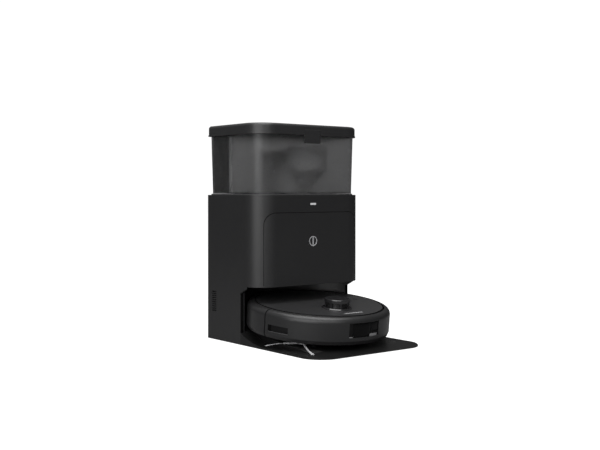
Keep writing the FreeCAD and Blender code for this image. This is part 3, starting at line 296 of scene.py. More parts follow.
@dataclass(frozen=True)
class Finish:
    """One moulded, metal or rubber finish.

    Attributes:
        name: The material's name.
        colour: Its own colour.
        roughness: How matt it is, before the grain varies it.
        variation: How far the roughness strays either way.
        specular: The shader's specular level.
        coat: Weight of a clear coat.
        metallic: 1 for bare metal.
        fineness: Scale of the mould texture.
        depth: Depth of the mould texture, in metres.
        dust: How much dust lies on top.
        wear: How rubbed its outer edges are.
        surface: The structure it carries.
        glow: Strength of its own light.
    """

    name: str
    colour: Colour
    roughness: float
    variation: float = 0.05
    specular: float = 0.4
    coat: float = 0.0
    metallic: float = 0.0
    fineness: float = 1500.0
    depth: float = 0.00004
    dust: float = 0.12
    wear: float = 0.3
    surface: Surface = Surface.PLAIN
    glow: float = 0.0

    def tinted(self, amount: float) -> tuple[float, float, float, float]:
        """Makes the finish's colour lighter or darker.

        Args:
            amount: What the colour is multiplied by.

        Returns:
            The shader colour.
        """
        return tuple(min(1.0, part * amount) for part in self.colour) + (1.0,)

    def structure(self, tree: bpy.types.NodeTree,
                  vector: bpy.types.NodeSocket) -> bpy.types.NodeSocket | None:
        """Adds the nodes of the finish's own structure.

        Args:
            tree: The material's tree.
            vector: Object coordinates.

        Returns:
            A mask from 0 in the hollows to 1 on the ridges, or None for a plain finish.
        """
        if self.surface is Surface.PLAIN:
            return None
        if self.surface is Surface.BRUSHED:
            lines = add_node(tree, "TexNoise", Scale=1.0, Detail=4.0)
            stretch = add_node(tree, "Mapping")
            stretch.inputs["Scale"].default_value = (40.0, 2600.0, 2600.0)
            tree.links.new(vector, stretch.inputs["Vector"])
            tree.links.new(stretch.outputs["Vector"], lines.inputs["Vector"])
            return lines.outputs["Fac"]
        if self.surface in (Surface.PLEATED, Surface.RIBBED):
            pitch = 260.0 if self.surface is Surface.PLEATED else 520.0
            folds = add_node(tree, "TexWave", Scale=pitch, Distortion=0.6, Detail=2.0, wave_type="BANDS",
                             bands_direction="X")
            tree.links.new(vector, folds.inputs["Vector"])
            return folds.outputs["Fac"]
        cells = add_node(tree, "TexVoronoi", Scale=560.0 if self.surface is Surface.PERFORATED else 190.0,
                         Randomness=0.0 if self.surface is Surface.PERFORATED else 0.7)
        tree.links.new(vector, cells.inputs["Vector"])
        return ranged(tree, cells.outputs["Distance"], 0.28, 0.36, 0.0, 1.0)

    def build(self, effects: Effects) -> bpy.types.Material:
        """Makes the material.

        Args:
            effects: The shared shader groups.

        Returns:
            The finished material.
        """
        material = bpy.data.materials.new(self.name)
        material.use_nodes = True
        tree = material.node_tree
        shader = tree.nodes["Principled BSDF"]
        place = add_node(tree, "TexCoord").outputs["Object"]
        grain = effects.place(tree, effects.mould, place, Fineness=self.fineness, Drift=9.0)
        dust = effects.place(tree, effects.dust, place, Amount=self.dust)
        wear = effects.place(tree, effects.wear, place, Amount=self.wear)

        tone = add_node(tree, "MixRGB", blend_type="MIX")
        for socket, share in zip(tone.inputs[1:], DRIFT_TONES):
            socket.default_value = self.tinted(share)
        tree.links.new(grain.outputs["Drift"], tone.inputs[0])
        colour = tone.outputs[0]
        ridge = self.structure(tree, place)
        if ridge is not None:
            # Painted shade: the colour is darkened in the structure's hollows.
            hollow = add_node(tree, "MixRGB", blend_type="MIX")
            hollow.inputs[1].default_value = self.tinted(HOLLOW_SHADE_TONE)
            tree.links.new(ridge, hollow.inputs[0])
            tree.links.new(colour, hollow.inputs[2])
            colour = hollow.outputs[0]
        shades = ((wear.outputs["Mask"], self.tinted(RUBBED_TONE)), (dust.outputs["Mask"], DUST_TONE))
        for mask, shade in shades:
            over = add_node(tree, "MixRGB", blend_type="MIX")
            over.inputs[2].default_value = shade
            tree.links.new(mask, over.inputs[0])
            tree.links.new(colour, over.inputs[1])
            colour = over.outputs[0]
        tree.links.new(colour, shader.inputs["Base Color"])

        varied = ranged(tree, grain.outputs["Speckle"], 0.0, 1.0, self.roughness - self.variation,
                        self.roughness + self.variation)
        rough = maths(tree, "ADD", varied, maths(tree, "MULTIPLY", dust.outputs["Mask"], DUST_ROUGHNESS))
        polish = maths(tree, "MULTIPLY", wear.outputs["Mask"], RUBBED_POLISH)
        tree.links.new(maths(tree, "SUBTRACT", rough, polish), shader.inputs["Roughness"])
        relief = grain.outputs["Height"]
        if ridge is not None:
            relief = maths(tree, "ADD", relief, maths(tree, "MULTIPLY", ridge, RIDGE_HEIGHT))
        bump = add_node(tree, "Bump", Strength=0.6, Distance=self.depth)
        tree.links.new(relief, bump.inputs["Height"])
        tree.links.new(bump.outputs["Normal"], shader.inputs["Normal"])
        shader.inputs["Specular IOR Level"].default_value = self.specular
        shader.inputs["Coat Weight"].default_value = self.coat
        shader.inputs["Coat Roughness"].default_value = COAT_ROUGHNESS
        shader.inputs["Metallic"].default_value = self.metallic
        if self.glow:
            tree.links.new(colour, shader.inputs["Emission Color"])
            shader.inputs["Emission Strength"].default_value = self.glow
        return material


@dataclass(frozen=True)
class SmokedFinish:
    """Tinted clear plastic: light passes, scuffs and flow marks show on it.

    Attributes:
        name: The material's name.
        colour: What a wall lets through.
        roughness: How hazy it is.
        index: Its refractive index.
        specular: The shader's specular level.
    """

    name: str
    colour: Colour
    roughness: float = 0.16
    index: float = 1.46
    specular: float = 0.5

    def build(self, effects: Effects) -> bpy.types.Material:
        """Makes the material.

        Args:
            effects: The shared shader groups.

        Returns:
            The finished material.
        """
        material = bpy.data.materials.new(self.name)
        material.use_nodes = True
        tree = material.node_tree
        shader = tree.nodes["Principled BSDF"]
        place = add_node(tree, "TexCoord").outputs["Object"]
        grain = effects.place(tree, effects.mould, place, Fineness=700.0, Drift=14.0)
        tone = add_node(tree, "MixRGB", blend_type="MIX")
        for socket, share in zip(tone.inputs[1:], (0.9, 1.1)):
            socket.default_value = tuple(part * share for part in self.colour) + (1.0,)
        tree.links.new(grain.outputs["Drift"], tone.inputs[0])
        tree.links.new(tone.outputs[0], shader.inputs["Base Color"])
        tree.links.new(ranged(tree, grain.outputs["Speckle"], 0.0, 1.0, self.roughness - 0.04,
                              self.roughness + 0.05), shader.inputs["Roughness"])
        bump = add_node(tree, "Bump", Strength=0.25, Distance=0.00003)
        tree.links.new(grain.outputs["Height"], bump.inputs["Height"])
        tree.links.new(bump.outputs["Normal"], shader.inputs["Normal"])
        shader.inputs["IOR"].default_value = self.index
        shader.inputs["Transmission Weight"].default_value = 1.0
        shader.inputs["Specular IOR Level"].default_value = self.specular
        return material


TOWER = Finish("tower_satin", (0.0128, 0.0128, 0.0134), 0.40, specular=0.45, depth=0.00005)
LID = Finish("lid_satin", (0.0175, 0.0175, 0.0183), 0.38, specular=0.45, depth=0.00004)
RAMP = Finish("ramp_satin", (0.0045, 0.0045, 0.0047), 0.34, specular=0.36, depth=0.00006, dust=0.04)
ROBOT = Finish("robot_satin", (0.0128, 0.0128, 0.0134), 0.36, specular=0.42, dust=0.04)
PLATE = Finish("robot_top_satin", (0.022, 0.022, 0.023), 0.35, specular=0.45, dust=0.04)
PIANO = Finish("turret_gloss", (0.012, 0.012, 0.013), 0.16, variation=0.02, coat=0.4, depth=0.00001,
               dust=0.04)
WINDOW = Finish("sensor_glass", (0.003, 0.003, 0.0032), 0.24, variation=0.03, specular=0.1, depth=0.000005,
                dust=0.0, wear=0.0)
BEZEL = Finish("sensor_bezel", (0.005, 0.005, 0.0052), 0.5, specular=0.12, dust=0.0, wear=0.0)
# Near-black matt finish: painted shadow in the plate's seam, on the bay's jambs and along the cover's seam,
# and the dark colour of the side windows' eyes.
SHADOW = Finish("painted_shade_and_eye_black", (0.003, 0.003, 0.003), 0.9, specular=0.05, fineness=700.0, dust=0.0, wear=0.0)
UNDER = Finish("underbody_plastic", (0.02, 0.02, 0.021), 0.5, dust=0.0)
DUCT = Finish("duct_plastic", (0.12, 0.12, 0.125), 0.42)
CYCLONE = Finish("cyclone_plastic", (0.34, 0.34, 0.343), 0.4, dust=0.05)
RUBBER = Finish("soft_rubber", (0.018, 0.018, 0.018), 0.72, variation=0.08, fineness=900.0, depth=0.0001)
# Pale grey: partly the gasket's own colour, partly a painted highlight along the bin's lower rim.
GASKET_AND_RIM_HIGHLIGHT = Finish("pale_gasket", (0.05, 0.05, 0.052), 0.6, fineness=900.0, dust=0.0, wear=0.0)
STEEL = Finish("blackened_steel", (0.11, 0.11, 0.115), 0.34, metallic=1.0, surface=Surface.BRUSHED, dust=0.03)
SCREEN = Finish("punched_steel", (0.38, 0.38, 0.39), 0.32, metallic=1.0, surface=Surface.PERFORATED)
CONTACT = Finish("contact_brass", (0.72, 0.56, 0.3), 0.26, metallic=1.0, surface=Surface.BRUSHED, dust=0.03)
PAPER = Finish("pleated_filter", (0.62, 0.61, 0.57), 0.85, surface=Surface.PLEATED, depth=0.0003,
               fineness=600.0)
CARBON = Finish("carbon_filter", (0.012, 0.012, 0.0125), 0.9, surface=Surface.PLEATED, depth=0.0003,
                fineness=600.0)
BOARD = Finish("circuit_board", (0.02, 0.11, 0.05), 0.36, surface=Surface.BOARD, coat=0.2)
CELL = Finish("battery_wrap", (0.03, 0.09, 0.24), 0.3, surface=Surface.RIBBED)
BRISTLE = Finish("bristle_nylon", (0.42, 0.42, 0.43), 0.45, fineness=400.0, dust=0.0)
MARK = Finish("badge_print", (0.30, 0.30, 0.31), 0.35, dust=0.0)
LAMP = Finish("status_lamp", (0.42, 0.42, 0.43), 0.35, dust=0.0, wear=0.0, glow=0.3)
INLAY = Finish("inlay_gloss", (0.42, 0.42, 0.43), 0.22, coat=0.5, dust=0.02)
INLET = Finish("inlet_plastic", (0.014, 0.014, 0.015), 0.3, dust=0.02)
PALE_LENS = Finish("pale_lens", (0.16, 0.16, 0.165), 0.3, coat=0.3, dust=0.0, wear=0.0)
# Painted highlight: the pale strip along the lower lip of each side window stands for light on its sill.
LIP_HIGHLIGHT = Finish("painted_lip_highlight", (0.07, 0.07, 0.072), 0.4, dust=0.0, wear=0.0)
SMOKED_BIN = SmokedFinish("smoked_bin", (0.66, 0.66, 0.665), 0.30, 1.31, 0.22)
SMOKED_BOX = SmokedFinish("smoked_dust_box", (0.3, 0.3, 0.31), 0.2)

SLOT_FINISHES: dict[str, Finish | SmokedFinish] = {
    "tower_black": TOWER, "ramp_black": RAMP, "screw_steel": STEEL, "soft_rubber": RUBBER,
    "pale_gasket": GASKET_AND_RIM_HIGHLIGHT, "smoked_bin": SMOKED_BIN, "light_white": LAMP, "badge_grey": MARK,
    "circuit_green": BOARD, "duct_grey": DUCT, "filter_white": PAPER, "mesh_steel": SCREEN,
    "robot_black": ROBOT, "dark_window": WINDOW, "contact_metal": CONTACT, "inlet_black": INLET,
    "battery_blue": CELL, "box_clear": SMOKED_BOX, "bristle_grey": BRISTLE,
}
NODE_FINISHES: dict[str, Finish | SmokedFinish] = {
    "bin_lid": LID, "lid_latch": LID, "top_plate": PLATE, "turret_cap": PIANO, "turret_base": PIANO,
    "robot_chassis": UNDER, "brush_frame": UNDER, "cyclone_body": CYCLONE, "bin_duct": CYCLONE,
    "top_inlay": INLAY, "exhaust_filter": CARBON, "underside_plates": UNDER, "castor_fork": UNDER,
}


@dataclass
class Wardrobe:
    """Every material that has been made so far, by its finish."""

    effects: Effects = field(default_factory=Effects)
    made: dict[str, bpy.types.Material] = field(default_factory=dict)

    def get(self, finish: Finish | SmokedFinish) -> bpy.types.Material:
        """Finds the material of a finish, which is made the first time it is asked for.

        Args:
            finish: The finish.

        Returns:
            Its material.
        """
        if finish.name not in self.made:
            self.made[finish.name] = finish.build(self.effects)
        return self.made[finish.name]

    def dress_frame(self) -> None:
        """Gives each piece of the frame its finish, by its node or by its slot."""
        slots = {part["node"]: part["material_slot"] for part in frame["record"]["subparts"]}
        for name, node in frame["nodes"].items():
            material = self.get(NODE_FINISHES.get(name, SLOT_FINISHES[slots[name]]))
            for place in node.material_slots:
                place.material = material
        LOG.info("%d frame pieces dressed", len(frame["nodes"]))


# ------------------------------------------------------------------ making a piece
@dataclass
class Piece:
    """One new piece: a mesh that is built in a local frame and then set in place.

    Attributes:
        name: The piece's name.
        body: The body of the frame that carries it.
        slot: The name of a material slot; it is not used.
        finish: Its finish.
        replaces: The frame's nodes that it stands for.
    """

    name: str
    body: str
    slot: str
    finish: Finish | SmokedFinish
    replaces: Sequence[str] = ()

    def make(self, mesh: bmesh.types.BMesh, wardrobe: Wardrobe, place: Matrix = Matrix.Identity(4),
             smooth: float = 35.0) -> bpy.types.Object:
        """Turns the mesh into a finished object that rides on its body.

        Args:
            mesh: The built mesh, which is used up.
            wardrobe: Where the material comes from.
            place: Where the local frame lies.
            smooth: Angle in degrees under which edges look smooth.

        Returns:
            The new object.
        """
        bmesh.ops.remove_doubles(mesh, verts=mesh.verts, dist=WELD_GAP)
        bmesh.ops.recalc_face_normals(mesh, faces=mesh.faces)
        bmesh.ops.transform(mesh, matrix=place, verts=mesh.verts)
        data = bpy.data.meshes.new(self.name)
        mesh.to_mesh(data)
        mesh.free()
        data.shade_smooth()
        data.set_sharp_from_angle(angle=math.radians(smooth))
        made = bpy.data.objects.new(self.name, data)
        bpy.context.scene.collection.objects.link(made)
        data.materials.append(wardrobe.get(self.finish))
        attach(made, self.body)
        if self.replaces:
            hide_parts(*self.replaces)
        LOG.info("%s: %d faces on %s", self.name, len(data.polygons), self.body)
        return made


def spin_profile(mesh: bmesh.types.BMesh, profile: Sequence[tuple[float, float]], steps: int = 64) -> None:
    """Adds a ring or disc made by turning a closed or axis-to-axis profile about Z.

    Args:
        mesh: The mesh that gets it.
        profile: Radius and height of each corner, in metres.
        steps: Number of faces round the turn.
    """
    verts = [mesh.verts.new((radius, 0.0, height)) for radius, height in profile]
    loop = list(zip(verts, verts[1:]))
    if profile[0][0] > MERGE_GAP or profile[-1][0] > MERGE_GAP:
        loop.append((verts[-1], verts[0]))
    edges = [mesh.edges.new(pair) for pair in loop]
    bmesh.ops.spin(mesh, geom=verts + edges, cent=(0, 0, 0), axis=(0, 0, 1), angle=math.tau, steps=steps,
                   use_merge=True, use_duplicate=False)
    bmesh.ops.remove_doubles(mesh, verts=mesh.verts, dist=MERGE_GAP)


def rounded_block(mesh: bmesh.types.BMesh, low: Point, high: Point, radius: float, segments: int = 3,
                  place: Matrix = Matrix.Identity(4)) -> None:
    """Adds a block with rounded edges.

    Args:
        mesh: The mesh that gets it.
        low: Its lowest corner.
        high: Its highest corner.
        radius: Edge rounding.
        segments: Faces across a rounding.
        place: Where the block's own frame lies.
    """
    size = Vector(high) - Vector(low)
    middle = (Vector(high) + Vector(low)) / 2
    stretched = Matrix.Translation(middle) @ Matrix.Diagonal((*size, 1.0))
    made = bmesh.ops.create_cube(mesh, size=1.0, matrix=stretched)
    edges = list({edge for vert in made["verts"] for edge in vert.link_edges})
    result = bmesh.ops.bevel(mesh, geom=edges, offset=radius, offset_type="OFFSET", segments=segments,
                             profile=0.5, affect="EDGES", material=-1, clamp_overlap=True)
    verts = set(result["verts"]) | {vert for vert in made["verts"] if vert.is_valid}
    verts |= {vert for face in result["faces"] for vert in face.verts}
    bmesh.ops.transform(mesh, matrix=place, verts=list(verts))


def curved_panel(mesh: bmesh.types.BMesh, radii: tuple[float, float], span: tuple[float, float],
                 level: tuple[float, float], corner: float = 0.5 * MM) -> None:
    """Adds a panel bent round the Z axis, with its outer edges rounded.

    Args:
        mesh: The mesh that gets it.
        radii: Its inner and outer radius.
        span: Its two ends, in degrees.
        level: Its foot and its top.
        corner: Rounding of its edges.
    """
    start = math.radians(span[0])
    out = Vector((math.cos(start), math.sin(start), 0.0))
    corners = [(radii[0], level[0]), (radii[1], level[0]), (radii[1], level[1]), (radii[0], level[1])]
    first = [mesh.verts.new(out * radius + Vector((0, 0, height))) for radius, height in corners]
    face = mesh.faces.new(first)
    steps = max(4, round((span[1] - span[0]) / PANEL_STEP))
    bmesh.ops.spin(mesh, geom=[face, *face.edges, *first], cent=(0, 0, 0), axis=(0, 0, 1),
                   angle=math.radians(span[1] - span[0]), steps=steps, use_duplicate=False)
    bmesh.ops.remove_doubles(mesh, verts=mesh.verts, dist=MERGE_GAP)
    bmesh.ops.recalc_face_normals(mesh, faces=mesh.faces)
    sharp = [edge for edge in mesh.edges if len(edge.link_faces) == 2 and edge.calc_face_angle(0.0) > 1.0]
    bmesh.ops.bevel(mesh, geom=sharp, offset=corner, offset_type="OFFSET", segments=2, profile=0.5,
                    affect="EDGES", material=-1, clamp_overlap=True)


def swept_strand(mesh: bmesh.types.BMesh, path: Sequence[Vector], radii: Sequence[float],
                 sides: int = 6) -> None:
    """Adds a tapering round strand along a path by extruding a ring of vertices.

    Args:
        mesh: The mesh that gets it.
        path: Its middle line.
        radii: Its radius at each point of the path.
        sides: Faces round the strand.
    """
    ring: list[bmesh.types.BMVert] = []
    for number, (point, radius) in enumerate(zip(path, radii)):
        ahead = path[min(number + 1, len(path) - 1)] - path[max(number - 1, 0)]
        turn = ahead.to_track_quat("Z", "Y").to_matrix().to_4x4()
        if number == 0:
            ring = bmesh.ops.create_circle(mesh, cap_ends=True, segments=sides, radius=radius,
                                           matrix=Matrix.Translation(point) @ turn)["verts"]
            flat, centre = turn.inverted(), point
            continue
        edges = list({edge for vert in ring for edge in vert.link_edges
                      if edge.other_vert(vert) in ring})
        grown = bmesh.ops.extrude_edge_only(mesh, edges=edges)["geom"]
        new_ring = [item for item in grown if isinstance(item, bmesh.types.BMVert)]
        scale = radius / radii[number - 1]
        move = (Matrix.Translation(point) @ turn @ Matrix.Diagonal((scale, scale, 1.0, 1.0)) @ flat
                @ Matrix.Translation(-centre))
        bmesh.ops.transform(mesh, matrix=move, verts=new_ring)
        ring, flat, centre = new_ring, turn.inverted(), point
    bmesh.ops.contextual_create(mesh, geom=ring)


# ------------------------------------------------------------------ the robot's pieces
@dataclass
class SideSweeper:
    """The three-armed side brush: soft arms with a tuft of bristles at the end of each.

    Attributes:
        side: Where its hub lies across the robot.
        ahead: Where its hub lies along the robot.
        arm: Length of a soft arm.
        reach: Length from the hub to the bristle tips.
        bristles: Number of bristles in a tuft.
        droop: How far each arm's bristles sag, in millimetres: only the first hangs over the ramp's edge.
        first: Bearing of the first arm, in degrees.
        hub: Radius and height of each corner of the hub, in millimetres.
        bend: Length, height and radius at points along an arm, in millimetres.
        strand: Share of the length and radius, in millimetres, at points along a bristle.
        spread: Width of a tuft at its root and how much it widens, in millimetres.
        curl: Power with which the bristles spread and sag towards their tips.
        uneven: How much shorter than the longest a bristle may be.
    """

    side: float = -107.0 * MM
    ahead: float = -80.0 * MM
    arm: float = 44.0 * MM
    reach: float = 90.0 * MM
    bristles: int = 12
    droop: tuple[float, float, float] = (11.0, 0.0, 0.0)
    first: float = 128.0
    hub: tuple[tuple[float, float], ...] = ((0.0, 21.0), (2.9, 21.0), (2.9, 10.0), (9.6, 10.0), (11.0, 8.6),
                                            (11.0, 6.2), (9.6, 4.9), (3.0, 4.9), (2.4, 5.6), (0.0, 5.6))
    bend: tuple[tuple[float, float, float], ...] = ((8.0, 6.6, 2.9), (16.0, 5.0, 2.6), (26.0, 3.2, 2.2),
                                                    (36.0, 1.9, 2.0), (44.0, 0.9, 1.9))
    strand: tuple[tuple[float, float], ...] = ((0.0, 0.42), (0.3, 0.4), (0.65, 0.36), (1.0, 0.24))
    spread: tuple[float, float] = (2.4, 5.0)
    curl: float = 1.4
    uneven: float = 5.0 * MM

    def build(self, wardrobe: Wardrobe) -> None:
        """Builds the hub, arms and bristles, in place of the plain sweeper.

        Args:
            wardrobe: Where the materials come from.
        """
        mesh = bmesh.new()
        spin_profile(mesh, [(radius * MM, height * MM) for radius, height in self.hub], 40)
        dice = random.Random(7)
        for number, sag in enumerate(self.droop):
            turn = Matrix.Rotation(math.radians(self.first + 120 * number), 4, "Z")
            path = [turn @ Vector((along * MM, 0.0, height * MM)) for along, height, _ in self.bend]
            swept_strand(mesh, path, [radius * MM for _, _, radius in self.bend], 10)
            for bristle in range(self.bristles):
                lean = bristle / (self.bristles - 1) - 0.5
                sway = dice.uniform(-1.0, 1.0)
                length = self.reach - self.arm - dice.uniform(0.0, self.uneven)
                points = []
                for share, _ in self.strand:
                    fan = self.spread[0] + self.spread[1] * share ** self.curl
                    aside = (lean * fan + sway * 0.5 * share) * MM
                    height = (0.9 + 0.5 * abs(lean) - sag * share ** self.curl + 0.25 * sway * share) * MM
                    points.append(turn @ Vector((self.arm - 3 * MM + length * share, aside, height)))
                swept_strand(mesh, points, [radius * MM for _, radius in self.strand], 5)
        place = DOCKED @ Matrix.Translation((self.side, self.ahead, 0.0))
        brush = Piece("sweeper_brush", "sweeper", "bristle_grey", BRISTLE, ("side_brush",))
        brush.make(mesh, wardrobe, place)


@dataclass(frozen=True)
class Pane:
    """One panel that follows the bumper's round face.

    Attributes:
        name: The piece's name.
        finish: Its finish.
        span: Its two ends round the robot, in degrees.
        level: Its foot and top over the robot's ground, in millimetres.
        depth: How far its face and its back lie behind the bumper's face, in millimetres.
        replaces: The frame's nodes that it stands for.
    """

    name: str
    finish: Finish
    span: tuple[float, float]
    level: tuple[float, float]
    depth: tuple[float, float]
    replaces: tuple[str, ...] = ()


@dataclass
class FrontEye:
    """The bumper's windows: the sunk front window with its glass and lamps, and the side windows.

    Attributes:
        radius: The bumper's outer radius.
        panes: The panels of the front window.
        wall_span: The two ends of the left side window, in degrees.
        eye_span: The two ends of the dark eye at its rear.
    """

    radius: float = 170.0 * MM
    panes: tuple[Pane, ...] = (
        Pane("sensor_bezel", BEZEL, (-105.6, -74.4), (22.5, 62.0), (2.0, 3.4), ("sensor_window",)),
        Pane("sensor_glass", WINDOW, (-101.7, -85.4), (31.0, 61.4), (1.1, 2.1)),
        Pane("sensor_screen", WINDOW, (-84.6, -75.2), (40.0, 61.0), (1.5, 2.1)),
        Pane("marker_label", PALE_LENS, (-85.0, -76.5), (26.5, 36.0), (1.2, 2.1)),
        Pane("lamp_window", PALE_LENS, (-104.6, -101.6), (25.5, 32.0), (1.2, 2.1)),
    )
    wall_span: tuple[float, float] = (-171.2, -151.8)
    eye_span: tuple[float, float] = (-171.2, -168.4)

    def wall_panes(self) -> list[Pane]:
        """The panels of the two side windows: the right one mirrors the left one."""
        panes: list[Pane] = []
        for name in ("left", "right"):
            ends, dark = self.wall_span, self.eye_span
            if name == "right":
                ends, dark = (-180.0 - ends[1], -180.0 - ends[0]), (-180.0 - dark[1], -180.0 - dark[0])
            stands_for = ("side_windows",) if name == "left" else ()
            panes += [Pane(f"{name}_wall_sensor", BEZEL, ends, (28.4, 43.6), (2.2, 3.4), stands_for),
                      Pane(f"{name}_wall_eye", SHADOW, dark, (28.8, 43.2), (1.2, 1.8)),
                      # Painted highlight: a pale strip along each window's lower lip.
                      Pane(f"{name}_wall_lip_highlight", LIP_HIGHLIGHT, ends, (28.3, 29.4), (0.5, 1.8))]
        return panes

    def build(self, wardrobe: Wardrobe) -> None:
        """Builds the panels of every window.

        Args:
            wardrobe: Where the materials come from.
        """
        for pane in (*self.panes, *self.wall_panes()):
            face, back = (self.radius - depth * MM for depth in pane.depth)
            foot, top = (level * MM for level in pane.level)
            mesh = bmesh.new()
            curved_panel(mesh, (back, face), pane.span, (foot, top))
            made = Piece(pane.name, "bumper", "dark_window", pane.finish, pane.replaces)
            made.make(mesh, wardrobe, DOCKED)


@dataclass
class Turret:
    """The laser turret's dark slatted window between its base and its cap.

    Attributes:
        ahead: Where its axis lies along the robot.
        posts: Number of slats round it.
        inner: Radius of the slats' inner edge.
        outer: Radius of their outer edge.
        half: Half a slat's width.
        foot: Height of their foot over the robot's ground.
        top: Height of their top.
    """

    ahead: float = -66.0 * MM
    posts: int = 30
    inner: float = 27.4 * MM
    outer: float = 28.6 * MM
    half: float = 0.5 * MM
    foot: float = 84.0 * MM
    top: float = 92.6 * MM

    def build(self, wardrobe: Wardrobe) -> None:
        """Builds the ring of slats that shades the turning head.

        Args:
            wardrobe: Where the materials come from.
        """
        mesh = bmesh.new()
        for number in range(self.posts):
            turn = Matrix.Rotation(math.tau * number / self.posts, 4, "Z")
            rounded_block(mesh, (self.inner, -self.half, self.foot), (self.outer, self.half, self.top),
                          0.3 * MM, 2, turn)
        place = DOCKED @ Matrix.Translation((0.0, self.ahead, 0.0))
        Piece("turret_slats", "robot", "robot_black", PIANO).make(mesh, wardrobe, place)


@dataclass
class Seams:
    """Painted shadow round the robot's top plate and down the jambs of the station's bay: near-black strips
    where the seams and the bay's mouth lie in shade.

    Attributes:
        plate: Radius of the top plate.
        level: Height of the plate over the robot's ground.
        ring: How far inside the plate's radius the seam's two edges lie.
        ring_rise: How far the seam reaches below and above that height.
        ring_corner: Cut of its upper corners.
        jamb: How far from the middle the painted shadow strip on a jamb begins.
        jamb_back: How far inside the housing's side it ends.
        jamb_front: Where its front face stands.
        jamb_depth: Its depth.
        jamb_rise: Its foot and its top.
    """

    plate: float = 152.6 * MM
    level: float = 76.0 * MM
    ring: tuple[float, float] = (1.5 * MM, 0.15 * MM)
    ring_rise: tuple[float, float] = (0.6 * MM, 0.95 * MM)
    ring_corner: float = 0.35 * MM
    jamb: float = 158.6 * MM
    jamb_back: float = 0.5 * MM
    jamb_front: float = 67.0 * MM
    jamb_depth: float = 0.9 * MM
    jamb_rise: tuple[float, float] = (27.0 * MM, 121.5 * MM)

    def build(self, wardrobe: Wardrobe) -> None:
        """Builds the plate's seam ring and the strips on the bay's jambs, all of it near-black painted
        shadow.

        Args:
            wardrobe: Where the materials come from.
        """
        ring = bmesh.new()
        low, high = self.level - self.ring_rise[0], self.level + self.ring_rise[1]
        inner, outer = (self.plate - inset for inset in self.ring)
        cut = self.ring_corner
        spin_profile(ring, [(inner, low), (outer, low), (outer, high - cut), (outer - cut, high),
                            (inner + cut, high), (inner, high - cut)], 180)
        # Painted shadow: a near-black ring stands for the shade in the gap round the top plate.
        Piece("plate_seam_shadow", "robot", "robot_black", SHADOW).make(ring, wardrobe, DOCKED)
        edge = abs(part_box("station_housing")[0].x) - self.jamb_back
        foot, top = self.jamb_rise
        jambs = bmesh.new()
        for side in (-1.0, 1.0):
            left, right = sorted((side * edge, side * self.jamb))
            rounded_block(jambs, (left, self.jamb_front, foot),
                          (right, self.jamb_front + self.jamb_depth, top), 0.3 * MM, 2)
        # Painted shadow: near-black strips on the jambs stand for the shade at the mouth of the bay.
        Piece("bay_jamb_shadow", "station", "soft_rubber", SHADOW).make(jambs, wardrobe)


@dataclass
class CoverSeam:
    """A painted shadow line round the service cover, which follows the rounded front corners.

    Attributes:
        side: How far the cover reaches to each side.
        top: Height of its top edge.
        foot: Height where its side edges end, over the bay.
        corner: Radius of its upper corners.
        turn: Radius of the tower's front corners.
        half_width: Half the line's thickness.
        sunk: How far its middle lies under the face.
        steps: Number of straight runs round an upper corner.
    """

    side: float = 141.0 * MM
    top: float = 311.5 * MM
    foot: float = 141.0 * MM
    corner: float = 28.0 * MM
    turn: float = 56.4 * MM
    half_width: float = 0.8 * MM
    sunk: float = 0.55 * MM
    steps: int = 8

    def on_face(self, along: float, level: float) -> Vector:
        """A point of the line, just under the curved front face.

        Args:
            along: How far to the side it lies.
            level: Its height.

        Returns:
            The point.
        """
        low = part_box("front_cover")[0]
        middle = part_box("station_housing")[1].x - self.turn
        past = max(0.0, abs(along) - middle)
        front = low.y + self.sunk
        return Vector((along, front + self.turn - math.sqrt(self.turn ** 2 - past ** 2), level))

    def build(self, wardrobe: Wardrobe) -> None:
        """Builds the line as one strand: up one side, across the top and down the other.

        Args:
            wardrobe: Where the materials come from.
        """
        inside = self.side - self.half_width
        crown = self.top - self.half_width
        half: list[tuple[float, float]] = [(inside, self.foot), (inside, crown - self.corner)]
        for step in range(1, self.steps + 1):
            angle = math.radians(90.0 * step / self.steps)
            half.append((inside - self.corner * (1.0 - math.cos(angle)),
                         crown - self.corner * (1.0 - math.sin(angle))))
        points = [self.on_face(-along, level) for along, level in half]
        points += [self.on_face(along, level) for along, level in reversed(half)]
        mesh = bmesh.new()
        swept_strand(mesh, points, [self.half_width] * len(points), 8)
        # Painted shadow: the near-black strand stands for the shade in the cover's seam.
        Piece("cover_seam_shadow", "service_cover", "tower_black", SHADOW).make(mesh, wardrobe)


